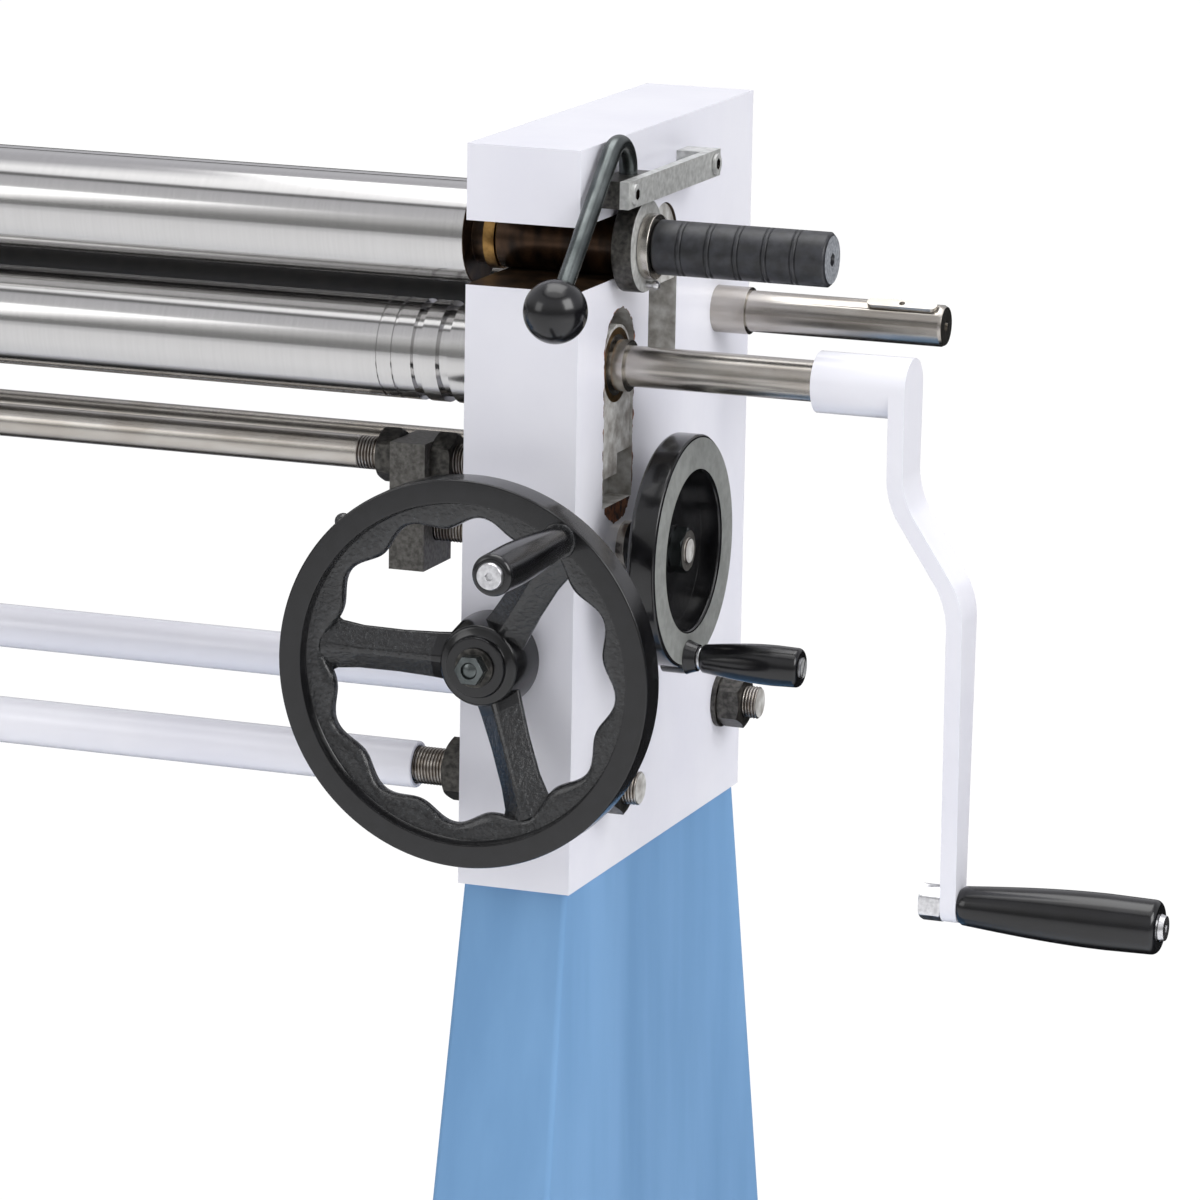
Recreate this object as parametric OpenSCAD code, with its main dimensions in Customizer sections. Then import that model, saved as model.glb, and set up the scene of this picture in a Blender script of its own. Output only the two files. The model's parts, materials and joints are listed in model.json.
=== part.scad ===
/* [Machine] */
// Distance between the two housings
span = 1314; // [1000:1:1600]
// Height of each stand, from the floor to the housing
stand_h = 600; // [500:1:700]
// Running clearance of a shaft in its bearing, on the radius
run_gap = 0.05; // [0.02:0.01:0.1]
// Gap between faces that pass each other
slip_gap = 0.3; // [0.2:0.05:0.6]

/* [Housings] */
// Thickness of a housing, along the rolls
house_w = 87; // [80:0.5:100]
// Depth of a housing, front to back
house_d = 372; // [350:1:420]
// Height of a housing above the upper roll's axis
house_top = 79; // [67:1:132]
// Thickness of a housing's side walls
side_wall = 8; // [6:0.5:9]
// Thickness of a housing's front and rear walls
end_wall = 24; // [20:0.5:30]
// Thickness of a housing's roof over its rear hollow
roof_t = 18; // [12:0.5:30]
// How far a housing's solid guide part reaches below the lower roll's axis
guide_drop = 124; // [119:0.5:127]
// Depth of a housing's solid guide part, from the front
guide_d = 240; // [235:1:250]

/* [Stands] */
// How far a stand's top is set in from the housing
stand_inset = 3; // [0:0.5:5]
// How much further out a stand's side is at the floor than at the top
stand_flare_x = 14; // [5:0.5:25]
// How much further out a stand's front is at the floor than at the top
stand_flare_y = 107; // [60:1:130]
// Thickness of a stand's sheet metal
sheet_t = 3; // [2:0.25:5]
// Thickness of a stand's top plate and base plate
plate_t = 8; // [6:0.5:12]
// How far the base plate reaches beyond the column at front and rear
foot_lip = 45; // [38:1:60]
// How far the base plate reaches beyond the column at the sides
foot_side_lip = 8; // [4:0.5:20]
// Diameter of a floor bolt hole
foot_hole_d = 14; // [10:0.5:18]
// Distance of a floor bolt hole from the base plate's end
foot_hole_edge = 22; // [18:0.5:25]
// Distance between the two floor bolt holes at one end
foot_hole_pitch = 70; // [50:1:80]
// Diameter of the bolts that hold a housing on its stand
house_bolt_d = 12; // [10:0.5:14]
// How far those bolts reach into the housing
house_bolt_grip = 25; // [15:1:40]
// Height of the bolts' heads
house_bolt_head_h = 8; // [6:0.5:10]
// Distance of those bolts from the middle of the housing's thickness
house_bolt_x = 22; // [15:0.5:28]

/* [Rolls] */
// Diameter of the three rolls
roll_d = 75; // [70:0.5:78]
// Gap between the upper and the lower roll at rest
roll_gap = 14; // [12.5:0.5:18]
// Distance of the two front rolls' axes from the housings' front faces
pinch_y = 86; // [80:0.5:90]
// Height of the lower roll's axis above the housings' bottom
lower_z = 379; // [377:0.5:381]
// Distance of the rear roll's axis behind the front rolls' axes
rear_back = 90; // [88:0.5:93]
// Height of the rear roll's raised axis above the lower roll's axis
rear_rise = 77; // [74:0.5:80]
// How far the rear roll can be lowered
rear_drop = 46; // [36:1:49]
// Gap between a roll's body and a housing
roll_end_gap = 4; // [2:0.5:8]
// Diameter of the lower roll's journals
lower_journal_d = 45; // [40:0.5:48]
// Diameter of the rear roll's journals
rear_journal_d = 40; // [34:0.5:44]
// Diameter of the lower roll's shaft, where the crank and the gear sit
crank_shaft_d = 30; // [26:0.5:34]
// Distance from the housing to the furthest wire groove's middle
groove_reach = 89; // [70:1:110]
// Width of the widest wire groove
groove_w = 9.5; // [6:0.5:12]
// Depth of the widest wire groove
groove_depth = 4; // [2:0.5:5]

/* [Upper roll and its release] */
// Distance of the upper roll's body from the housing
upper_end_gap = 22; // [18:0.5:30]
// Diameter of the upper roll's journals
upper_journal_d = 34; // [30:0.5:36]
// Diameter of the shoulder between body and journal
upper_shoulder_d = 42; // [38:0.5:46]
// Diameter of the bearing sleeve in the housing's slot
sleeve_d = 46; // [44:0.5:50]
// Diameter of the bronze ring between roll and sleeve
bronze_ring_d = 49; // [46:0.5:60]
// Thickness of the bronze ring
bronze_ring_t = 8.4; // [5:0.2:10]
// Gap between the bronze ring and the housing
bronze_ring_gap = 3.3; // [2:0.1:5]
// Diameter of the release ring on the housing's outer side
release_ring_d = 68; // [60:1:70]
// Thickness of the release ring
release_ring_t = 16; // [10:0.5:20]
// Gap between the release ring and the housing
release_ring_gap = 4; // [4:0.5:8]
// Diameter of the bright collar beside the release ring
bright_collar_d = 48; // [42:0.5:52]
// Thickness of the bright collar
bright_collar_t = 8; // [3:0.5:9]
// Outer diameter of the rubber grip
rubber_grip_d = 40; // [34:0.5:42]
// Length of the rubber grip
rubber_grip_l = 133; // [110:1:160]
// Diameter of the spigot in the rubber grip
rubber_spigot_d = 24; // [18:0.5:26]
// Distance between the double grooves of the rubber grip
rib_pitch = 21.7; // [18:0.1:24]
// Width of one groove of the rubber grip
rib_groove_w = 1.6; // [1:0.1:2.5]
// Width of the narrow rib between two grooves
rib_between = 2.2; // [1:0.1:4]
// Depth of the grooves of the rubber grip
rib_groove_depth = 1.4; // [0.5:0.1:2.5]
// Diameter of the hole in the rubber grip's end
grip_hole_d = 9; // [5:0.5:12]
// Depth of the hole in the rubber grip's end
grip_hole_depth = 10; // [6:0.5:13]
// Distance of the swing pin in front of the upper roll's axis
swing_offset = 50; // [46:0.5:54]
// Diameter of the swing pin
swing_pin_d = 20; // [14:0.5:22]
// Width of the swing bearing, along the rolls
swing_block_w = 52; // [44:1:54]
// How far the swing bearing reaches behind the roll's axis
swing_block_back = 27; // [22:0.5:30]
// How far the swing bearing reaches in front of the pin
swing_block_front = 20; // [14:0.5:24]
// Diameter of the grease nipple's ball
nipple_d = 7; // [5:0.5:9]

/* [Latch] */
// Height of the latch bar
latch_bar_h = 20; // [16:0.5:22]
// Thickness of the latch bar
latch_bar_t = 7; // [5:0.5:9]
// Width of the latch block behind the bar, along the rolls
latch_block_w = 19; // [16:0.5:22]
// Length of the latch block, front to back
latch_block_l = 63; // [58:1:72]
// Distance of the latch bar's front end from the housing's front
latch_front = 28; // [26:0.5:30]
// Distance of the latch pivot from the housing's front
latch_pivot_y = 212; // [200:1:230]
// Width of the latch bar behind its pivot, and of the spacer's halves
latch_tail = 12; // [10:0.5:14]
// Diameter of the latch's screws
latch_screw_d = 10; // [8:0.5:12]
// Height of a latch screw's head
latch_head_h = 2.5; // [2:0.5:8]
// Diameter of a latch screw's head
latch_head_d = 15; // [13:0.5:18]
// Depth of the pivot screw in the housing
latch_screw_grip = 20; // [12:1:30]
// Diameter of the latch lever's rod
lever_d = 13.5; // [9:0.5:15]
// Radius of the lever's arch, on its middle line
lever_bend_r = 22; // [18:0.5:28]
// Height of the arch's top above the latch bar
lever_rise = 24; // [22:0.5:32]
// Diameter of the ball knob
ball_d = 46; // [36:0.5:50]
// Distance of the ball in front of the housing
ball_y = 72; // [66:1:90]
// Height of the ball above the lower roll's axis
ball_rise = 64; // [56:1:91]

/* [Lift of the lower roll] */
// How far the lower roll can be raised
lift_up = 12; // [8:0.5:12]
// How far the lower roll can be lowered
lift_down = 6; // [4:0.5:8]
// Width of the bearing slots
slot_w = 60; // [58:0.5:62]
// How far the front slot reaches below the lower roll's axis
slot_drop = 102; // [100:0.5:105]
// Radius of a bush's wall, beyond its journal
bush_t = 5; // [3:0.5:5.5]
// Distance of the bearing blocks' faces inside the housing's faces
block_inset = 2; // [1:0.25:4]
// Rise of the wedges for each unit of their length
wedge_slope_share = 0.5; // [0.45:0.01:0.5]
// Length of a lifting wedge
wedge_l = 55; // [50:0.5:56]
// Height of a wedge's thin end
wedge_thin_h = 28; // [27:0.5:29]
// Distance of the right wedge inside the housing's inner face
right_wedge_x = 14; // [13:0.5:16]
// Distance of the left wedge inside the housing's inner face
left_wedge_x = 25.5; // [25.3:0.1:26]
// Diameter of the wedge rod and of the stay rod
thin_rod_d = 25; // [22:0.5:26]
// Distance of the wedge rod's axis from the housings' front
wedge_rod_y = 103; // [100:0.5:103]
// Distance of the wedge rod's axis below the lower roll's axis
wedge_rod_drop = 85; // [84.5:0.5:87]
// Diameter of the wedge rod's ends
spigot_d = 16; // [12:0.5:17]
// Depth of the wedge rod's ends in the wedges
spigot_l = 26; // [20:0.5:32]
// Distance of the stay rod behind the wedge rod
stay_back = 53; // [50:0.5:55]
// Depth of the stay rod's ends in the housings
stay_seat = 8; // [5:0.5:8]
// Thickness of a rod guide
guide_t = 14; // [10:0.5:16]
// Height of a rod guide
guide_h = 60; // [50:1:64]
// How far a rod guide reaches beyond the rods' axes
guide_reach = 32; // [28:0.5:34]

/* [Adjuster] */
// Width of the adjuster block, along the rolls
adjuster_w = 28; // [22:0.5:32]
// Distance of the adjuster block from the housing
adjuster_gap = 61; // [58:0.5:70]
// Depth of the adjuster block, front to back
adjuster_d = 54; // [44:0.5:58]
// Height of the adjuster block
adjuster_h = 96; // [90:0.5:104]
// Height of the block's top above the wedge rod's axis
adjuster_top = 15; // [14:0.5:20]
// Width across flats of the adjuster's nuts
adjuster_nut_af = 36; // [32:0.5:38]
// Thickness of the adjuster's nuts
adjuster_nut_h = 16; // [12:0.5:18]
// Distance of the adjusting screw below the wedge rod
screw_drop = 52; // [52:0.5:58]
// Diameter of the adjusting screw
screw_d = 20; // [16:0.5:22]
// Lead of the adjusting screw's thread
screw_pitch = 2.5; // [2:0.25:3]
// How far the adjusting screw reaches beyond the adjuster block
screw_past = 22; // [18:0.5:30]

/* [Side handwheel] */
// Thickness of the bush's flange behind the side handwheel
side_bush_t = 6; // [4:0.5:8]
// Diameter of the side handwheel
side_wheel_d = 172; // [150:1:180]
// Distance of the side handwheel's rim from the housing
side_rim_x = 33; // [30:0.5:40]
// Thickness of the side handwheel's rim
side_rim_t = 22; // [16:0.5:28]
// Width of the side handwheel's bright face
side_face_w = 27.5; // [20:0.5:34]
// Thickness of the side handwheel's web
side_web_t = 6; // [5:0.5:10]
// Diameter of the side handwheel's hub
side_hub_d = 36; // [30:0.5:44]
// Angle of the side handwheel's grip, about the screw
side_grip_angle = -97; // [-180:1:180]
// Distance of the side grip's axis from the screw's axis
side_grip_r = 78; // [60:0.5:79]
// Length of the side grip
side_grip_l = 88; // [70:1:110]
// Diameter of the side grip at its wide end
side_grip_d = 30; // [24:0.5:32]

/* [Front handwheels] */
// Diameter of a front handwheel
front_wheel_d = 284; // [240:1:290]
// Distance of a front handwheel's axis from the housing's inner face
front_wheel_x = 30; // [29.5:0.5:31]
// Distance of a front handwheel's axis below the lower roll's axis
front_wheel_drop = 204; // [202:0.5:213]
// Distance of the rim's front face from the housing's front
front_rim_y = 75; // [70:0.5:82]
// Thickness of a front handwheel's rim
front_rim_t = 27; // [20:0.5:32]
// Width of a front handwheel's flat rim face
front_face_w = 17.5; // [12:0.5:22]
// Width of the scalloped band inside the rim's face, at its middle
scallop_w = 16; // [12:0.5:18]
// Height of the scallops
scallop_h = 4.5; // [2:0.5:6]
// How far the scalloped band is set back from the rim's face
scallop_back = 9; // [4:0.5:12]
// Thickness of the scalloped band
scallop_t = 14; // [8:0.5:16]
// Diameter of a front handwheel's hub
front_hub_d = 66; // [54:0.5:70]
// Length of a front handwheel's hub
front_hub_l = 40; // [34:0.5:44]
// Width of a spoke at the hub
spoke_hub_w = 26; // [20:0.5:32]
// Width of a spoke at the rim
spoke_rim_w = 34; // [26:0.5:40]
// Thickness of a spoke
spoke_t = 13; // [8:0.5:18]
// Direction of the first spoke, seen from the front
spoke_angle = 55; // [0:1:119]
// Diameter of a front handwheel's shaft
wheel_shaft_d = 22; // [18:0.5:24]
// Distance of a front grip's axis from the wheel's axis
front_grip_r = 128; // [110:0.5:130]
// Length of a front grip
front_grip_l = 128; // [100:1:140]
// Diameter of a front grip at its wide end
front_grip_d = 31; // [26:0.5:36]

/* [Lift of the rear roll] */
// Diameter of the lifting screws
lift_screw_d = 20; // [16:0.5:20.5]
// Lead of the lifting screws' thread
lift_pitch = 4; // [3:0.25:5]
// Diameter of a lifting nut's sleeve
lift_sleeve_d = 40; // [34:0.5:40]
// Diameter of a lifting nut's flange
lift_flange_d = 56; // [46:0.5:57]
// Thickness of a lifting nut's flange
lift_flange_t = 7; // [5:0.5:8]
// How far the lifting screws reach below the lowered rear bearing blocks
lift_screw_reach = 224; // [212:1:236]
// Number of teeth of each bevel gear
bevel_teeth = 16; // [14:2:18]
// Pitch radius of each bevel gear at its wide end
bevel_r = 18.4; // [18:0.1:18.6]
// Face width of the bevel gears, along their axes
bevel_face = 5; // [4:0.25:5]

/* [Crank] */
// Distance of the crank's hub from the housing
crank_hub_x = 154; // [130:1:160]
// Length of the crank's hub
crank_hub_l = 59; // [50:1:70]
// Diameter of the crank's hub
crank_hub_d = 45; // [40:0.5:50]
// Thickness of the crank's arm
crank_arm_t = 12; // [10:0.5:16]
// Distance of the crank grip's axis below the crank shaft
crank_throw = 377; // [330:1:420]
// Width of the arm at the grip
crank_end_w = 26; // [22:0.5:36]
// Length of the arm's straight part below the crank shaft
crank_straight = 80; // [70:1:110]
// Height over which the arm steps outwards
crank_step_h = 72; // [50:1:80]
// How far the arm steps outwards
crank_step = 47; // [30:1:60]
// Length of the crank's grip
crank_grip_l = 150; // [110:1:160]
// Diameter of the crank's grip at its wide end
crank_grip_d = 41; // [34:0.5:44]
// Diameter of a grip's spindle
spindle_d = 12; // [8:0.5:14]
// Thickness of the collar on the crank shaft
shaft_collar_t = 8.5; // [6:0.5:12]
// Diameter of the collar on the crank shaft
shaft_collar_d = 38; // [36:0.5:44]

/* [Second shaft and gears] */
// Distance of the second shaft's axis from the housings' rear
lay_back = 72; // [68:0.5:76]
// Height of the second shaft's axis above the lower roll's axis
lay_rise = 9.5; // [4:0.5:13]
// Diameter of the second shaft
lay_d = 31.5; // [28:0.5:33]
// How much thicker the second shaft is up to its right bush's end, on the radius
lay_shoulder = 0.5; // [0.3:0.1:0.8]
// How far the second shaft reaches out of the right housing
lay_reach = 182; // [150:1:200]
// Outer diameter of the second shaft's bushes
lay_bush_d = 36; // [35:0.5:42]
// How far the second shaft's bushes stand out of the housings
lay_bush_reach = 27; // [15:0.5:28]
// Length of the key
key_l = 55; // [40:1:60]
// Width of the key
key_w = 9; // [6:0.5:10]
// Distance of the key from the shaft's end
key_edge = 5; // [3:0.5:12]
// Angle of the key's place, from the top towards the front
key_angle = 28; // [0:1:40]
// Height of the key above the shaft
key_rise = 2.6; // [1:0.1:4]
// Depth of the key in the shaft
key_depth = 4.5; // [3:0.1:5]
// How much the way through the idler is longer than the straight one between the shafts
gear_fold = 2; // [1:0.1:3]
// Number of teeth of the roll's gear
roll_gear_teeth = 38; // [36:1:40]
// Number of teeth of the idler gear
idler_teeth = 26; // [26:1:28]
// Number of teeth of the second shaft's pinion
pinion_teeth = 18; // [18:1:20]
// Width of the gears
gear_w = 20; // [14:0.5:20]
// Distance of the roll's gear from the left housing
roll_gear_x = 7; // [6.5:0.5:8]
// Distance of the idler and the pinion from the left housing
idler_x = 31; // [30:0.5:33]
// Diameter of the idler's stud
stud_d = 20; // [16:0.5:22]
// Depth of the gear cover
cover_depth = 64; // [62:0.5:70]
// Wall of the gear cover
cover_t = 3; // [2:0.25:4]
// How far the gear cover reaches below the lower roll's axis
cover_drop = 108; // [106:1:115]
// Distance of the gear cover's top below the housings' top
cover_top_drop = 18; // [14:0.5:20]
// Distance of the gear cover's rear side from the housings' rear
cover_rear_gap = 20; // [14:0.5:22]
// Clearance between the roll gear's teeth and the gear cover's front wall
cover_gear_gap = 2; // [1.5:0.5:4]
// Diameter of the posts inside the gear cover
cover_post_d = 16; // [14:0.5:18]
// Diameter of the gear cover's screws
cover_screw_d = 8; // [6:0.5:9]
// Height of the gear cover's screw heads
cover_head_h = 4; // [3:0.5:6]

/* [Tie rods] */
// Diameter of the tie rods
tie_d = 35; // [32:0.5:40]
// Distance of the front tie rod's axis from the housings' front
front_tie_y = 57; // [55:0.5:70]
// Height of the front tie rod's axis above the housings' bottom
front_tie_z = 71; // [60:0.5:80]
// Distance of the rear tie rod's axis from the housings' rear
rear_tie_back = 48; // [36:0.5:52]
// Height of the rear tie rod's axis above the housings' bottom
rear_tie_z = 78; // [60:0.5:85]
// Distance of a tie rod's end from the housing
tie_end_gap = 55; // [45:0.5:65]
// Diameter of a tie rod's inner thread
tie_thread_d = 28; // [24:0.5:29]
// Depth of that thread in the tie rod
tie_thread_grip = 30; // [20:0.5:50]
// Width across flats of the inner nuts
tie_inner_af = 42; // [40:0.5:46]
// Thickness of the inner nuts
tie_inner_h = 29; // [18:0.5:32]
// Diameter of a stud through a housing
tie_stud_d = 25; // [20:0.5:26]
// How far a stud stands out of its outer nut
tie_stud_past = 11.5; // [8:0.5:20]
// Width across flats of the outer nuts
tie_outer_af = 37; // [34:0.5:40]
// Thickness of the outer nuts
tie_outer_h = 18; // [14:0.5:22]
// Diameter of the outer washers
washer_d = 43; // [42:0.5:50]
// Thickness of the outer washers
washer_t = 4; // [2:0.5:6]

/* [Hidden] */
$fn = 48;

white = [0.91, 0.91, 0.94];
blue = [0.44, 0.62, 0.80];
black = [0.07, 0.07, 0.07];
dark_steel = [0.22, 0.22, 0.22];
steel = [0.62, 0.60, 0.57];
bright = [0.78, 0.78, 0.78];
bronze = [0.62, 0.45, 0.22];

// Overrun of every cut past the face that it starts from
cut = 1;
half_turn = 180;
right = 1;
left = -1;

upper_z = lower_z + roll_d + roll_gap;
house_h = upper_z + house_top;
guide_z = lower_z - guide_drop;
slot_bottom_z = lower_z - slot_drop;
wedge_rod_z = lower_z - wedge_rod_drop;
front_wheel_z = lower_z - front_wheel_drop;
lay_y = house_d - lay_back;
lay_z = lower_z + lay_rise;
cover_bottom_z = lower_z - cover_drop;
ball_z = lower_z + ball_rise;
rear_y = pinch_y + rear_back;
rear_z = lower_z + rear_rise;
house_mid_x = house_w / 2;
house_bolt_y = end_wall * 2 / 3;
groove_place_shares = [1, 0.865, 0.663, 0.427];
groove_size_shares = [0.21, 0.27, 0.74, 1];

// Slots of the housings
slot_r = slot_w / 2;
block_r = slot_r - slip_gap;
front_slot_top_z = lower_z + lift_up + block_r + slip_gap;
rear_slot_bottom_z = rear_z - rear_drop - slot_r - lift_flange_t * 2;
rear_slot_top_z = rear_z + slot_r + slip_gap;
c_slot_h = sleeve_d + 2 * slip_gap;

// Plane of the wedges: it falls towards +X at both ends of the machine
wedge_base_z = slot_bottom_z + slip_gap;
wedge_thin_z = wedge_base_z + wedge_thin_h;
wedge_rod_top_z = wedge_rod_z + thin_rod_d / 2 + lift_down + slip_gap;

// Latch
latch_low_z = upper_z + release_ring_d / 2 + slip_gap;
latch_bar_z = latch_low_z;
latch_mid_z = latch_bar_z + latch_bar_h / 2;
latch_bar_x = house_w + slip_gap + latch_block_w;
latch_pivot_grip = latch_bar_t + latch_block_w + slip_gap;
lever_x = house_w + slip_gap + latch_block_w / 2;
lever_top_z = latch_bar_z + latch_bar_h + lever_rise;
lever_foot_y = latch_front + latch_block_l - lever_d * 1.5;
lever_centre = [lever_foot_y - lever_bend_r, lever_top_z - lever_bend_r];
ball_centre = [-ball_y, ball_z];
lever_to_ball = ball_centre - lever_centre;
lever_reach = norm(lever_to_ball);
lever_aim = atan2(lever_to_ball[1], lever_to_ball[0]);
lever_leave_angle = lever_aim - acos(lever_bend_r / lever_reach);
lever_leave = lever_centre
  + lever_bend_r * [cos(lever_leave_angle), sin(lever_leave_angle)];

swing_y = pinch_y - swing_offset;
swing_pin_z = upper_z - c_slot_h / 2 - swing_pin_d * 2;
swing_slot_back = swing_block_back + roll_end_gap * 2;

// Adjuster and side handwheel
stay_y = wedge_rod_y + stay_back;
adjuster_z = wedge_rod_z + adjuster_top - adjuster_h;
side_screw_z = wedge_rod_z - screw_drop;
side_hub_x = house_w + side_bush_t + slip_gap;
side_rim_end = house_w + side_rim_x + side_rim_t;
side_web_x = house_w + side_rim_x + slip_gap;
side_hub_end = side_web_x + side_web_t * 1.2;
side_nut_h = screw_d * 0.5;
side_boss_r = side_grip_d * 0.42;
side_barrel_r = screw_d * 0.65;
side_grip_y = wedge_rod_y + side_grip_r * cos(side_grip_angle);
side_grip_z = side_screw_z + side_grip_r * sin(side_grip_angle);

// Front handwheels and the lift of the rear roll
front_rim_back = front_rim_y - front_rim_t;
front_hub_end = front_rim_back - front_hub_l;
front_bush_t = front_hub_end - slip_gap;
scallop_mid_r = front_wheel_d / 2 - front_face_w - scallop_w;
scallop_count = 12;
front_barrel_r = wheel_shaft_d / 2 + bush_t;
front_bolt_d = wheel_shaft_d * 0.55;
front_washer_t = front_bolt_d * 0.2;
front_boss_z = front_rim_y + front_washer_t;
bevel_apex_y = rear_y;
bevel_module = 2 * bevel_r / bevel_teeth;
lift_screw_bottom_z = rear_z - rear_drop - slot_r - lift_screw_reach;

// Crank
spindle_head_h = spindle_d / 3;
crank_arm_x = house_w + crank_hub_x + crank_hub_l;
crank_end_x = crank_arm_x + crank_step + crank_arm_t;

// Gears
centre_line = [lay_y - pinch_y, lay_z - lower_z];
centre_span = norm(centre_line);
gear_module = 2 * (centre_span + gear_fold)
  / (roll_gear_teeth + 2 * idler_teeth + pinion_teeth);
roll_gear_r = gear_module * roll_gear_teeth / 2;
idler_r = gear_module * idler_teeth / 2;
pinion_r = gear_module * pinion_teeth / 2;
near_leg = roll_gear_r + idler_r;
far_leg = idler_r + pinion_r;
idler_turn = acos((near_leg * near_leg + centre_span * centre_span - far_leg * far_leg)
  / (2 * near_leg * centre_span));
idler_aim = atan2(centre_line[1], centre_line[0]) - idler_turn;
idler_y = pinch_y + near_leg * cos(idler_aim);
idler_z = lower_z + near_leg * sin(idler_aim);
mesh_aim = atan2(lay_z - idler_z, lay_y - idler_y);

// Tie rods
rear_tie_y = house_d - rear_tie_back;

// Gear cover
cover_front_y = pinch_y - roll_gear_r - gear_module - cover_gear_gap - cover_t;
cover_high_z = house_h - cover_top_drop;
cover_back_y = house_d - cover_rear_gap;
cover_inset = cover_t + cover_post_d * 0.4;
cover_screw_spots = [for (y = [cover_front_y + cover_inset, cover_back_y - cover_inset])
  for (z = [cover_bottom_z + cover_inset, cover_high_z - cover_inset]) [y, z]];

// Stands
stand_top_w = house_w - 2 * stand_inset;
stand_top_d = house_d - 2 * stand_inset;
stand_foot_w = stand_top_w + 2 * stand_flare_x;
stand_foot_d = stand_top_d + 2 * stand_flare_y;

// Middle of the machine's outline on the floor, where its origin lies
reach_right = span / 2 + crank_end_x + slip_gap + crank_grip_l + spindle_head_h;
reach_left = max(span / 2 + house_w + cover_depth + cover_head_h,
  span / 2 + front_wheel_x + front_wheel_d / 2);
reach_front = max(front_boss_z + slip_gap + front_grip_l + spindle_head_h,
  stand_flare_y - stand_inset + foot_lip);
reach_rear = house_d - stand_inset + stand_flare_y + foot_lip;
origin_x = (reach_right - reach_left) / 2;
origin_y = (reach_rear - reach_front) / 2;

// Places its children in the machine, measured from the middle between the housings
module machine() {
  translate([-origin_x, -origin_y, 0]) children();
}

// Places its children at one end: x runs outwards from the housing's inner face,
// y backwards from its front, z upwards from its bottom
module at_end(side) {
  machine() mirror([side < 0 ? 1 : 0, 0, 0]) translate([span / 2, 0, stand_h]) children();
}

module at_both_ends() {
  at_end(right) children();
  at_end(left) children();
}

module rod_x(r, x0, x1, y, z) {
  translate([x0, y, z]) rotate([0, 90, 0]) cylinder(r = r, h = x1 - x0);
}

module rod_y(r, y0, y1, x, z) {
  translate([x, y0, z]) rotate([-90, 0, 0]) cylinder(r = r, h = y1 - y0);
}

module rod_z(r, z0, z1, x, y) {
  translate([x, y, z0]) cylinder(r = r, h = z1 - z0);
}

// Round bar between the housings, measured from the inner face of each
module long_rod(r, past, y, z) {
  machine() rod_x(r, -span / 2 - past, span / 2 + past, y, stand_h + z);
}

module hex_x(flats, x0, x1, y, z) {
  translate([x0, y, z]) rotate([0, 90, 0])
    cylinder(d = flats / cos(30), h = x1 - x0, $fn = 6);
}

// Outline of half a threaded bar, up its axis
function thread_outline(r, length, pitch) =
  let (turns = floor(length / pitch), low = r - pitch * 0.45, step = length / turns)
  concat([[0, 0]],
    [for (i = [0 : turns - 1]) each [[low, i * step], [r, (i + 0.5) * step]]],
    [[low, length], [0, length]]);

module thread_x(r, x0, x1, y, z, pitch) {
  translate([x0, y, z]) rotate([0, 90, 0])
    rotate_extrude() polygon(thread_outline(r, x1 - x0, pitch));
}

// Outline of a straight-sided gear, with a tooth on the first axis
function gear_outline(r, teeth, module_size, tooth_share) =
  let (pitch_a = 360 / teeth, tip = r + module_size * 0.8, root = r - module_size * 1.2)
  [for (i = [0 : teeth - 1]) each [
    for (corner = [[root, -0.62], [tip, -0.32], [tip, 0.32], [root, 0.62]])
      let (a = i * pitch_a + corner[1] * tooth_share * pitch_a)
        corner[0] * [cos(a), sin(a)]]];

// Half outline of a turned handle: a neck, a belly and a rounded end
function grip_outline(length, d) =
  let (r = d / 2, neck_r = r * 0.7, round_r = r * 0.28)
  concat([[0, 0], [neck_r * 0.86, 0], [neck_r, length * 0.02]],
    [for (i = [1 : 8]) let (t = i / 8)
      [neck_r + (r - neck_r) * sin(90 * t), length * (0.02 + 0.74 * t)]],
    [for (a = [0 : 15 : 90])
      [r * 0.96 - round_r + round_r * cos(a), length - round_r + round_r * sin(a)]],
    [[0, length]]);

// Turned handle along its own z axis, with a hole for its spindle
module grip_body(length, d, hole_r) {
  difference() {
    rotate_extrude() polygon(grip_outline(length, d));
    translate([0, 0, -cut]) cylinder(r = hole_r, h = length + 2 * cut);
  }
}

// Spindle of a handle along its own z axis, with a round head past the handle's end
module grip_spindle(length, d, foot) {
  translate([0, 0, -foot]) cylinder(d = d, h = foot + length + slip_gap);
  translate([0, 0, length + slip_gap]) difference() {
    cylinder(d1 = d * 1.7, d2 = d * 1.5, h = spindle_head_h - slip_gap);
    translate([0, 0, spindle_head_h / 3]) cylinder(d = d / 2, h = spindle_head_h, $fn = 6);
  }
}

// Stands

// Solid column that narrows from the floor to the top, set in by one wall
module column(wall, low, high) {
  foot_x = stand_foot_w / 2 - wall;
  foot_y = stand_foot_d / 2 - wall;
  top_x = stand_top_w / 2 - wall;
  top_y = stand_top_d / 2 - wall;
  intersection() {
    translate([0, stand_foot_d, 0]) rotate([90, 0, 0]) linear_extrude(2 * stand_foot_d)
      polygon([[-foot_x, low], [foot_x, low], [top_x, high], [-top_x, high]]);
    translate([-stand_foot_w, 0, 0]) rotate([90, 0, 90]) linear_extrude(2 * stand_foot_w)
      polygon([[-foot_y, low], [foot_y, low], [top_y, high], [-top_y, high]]);
  }
}

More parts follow.
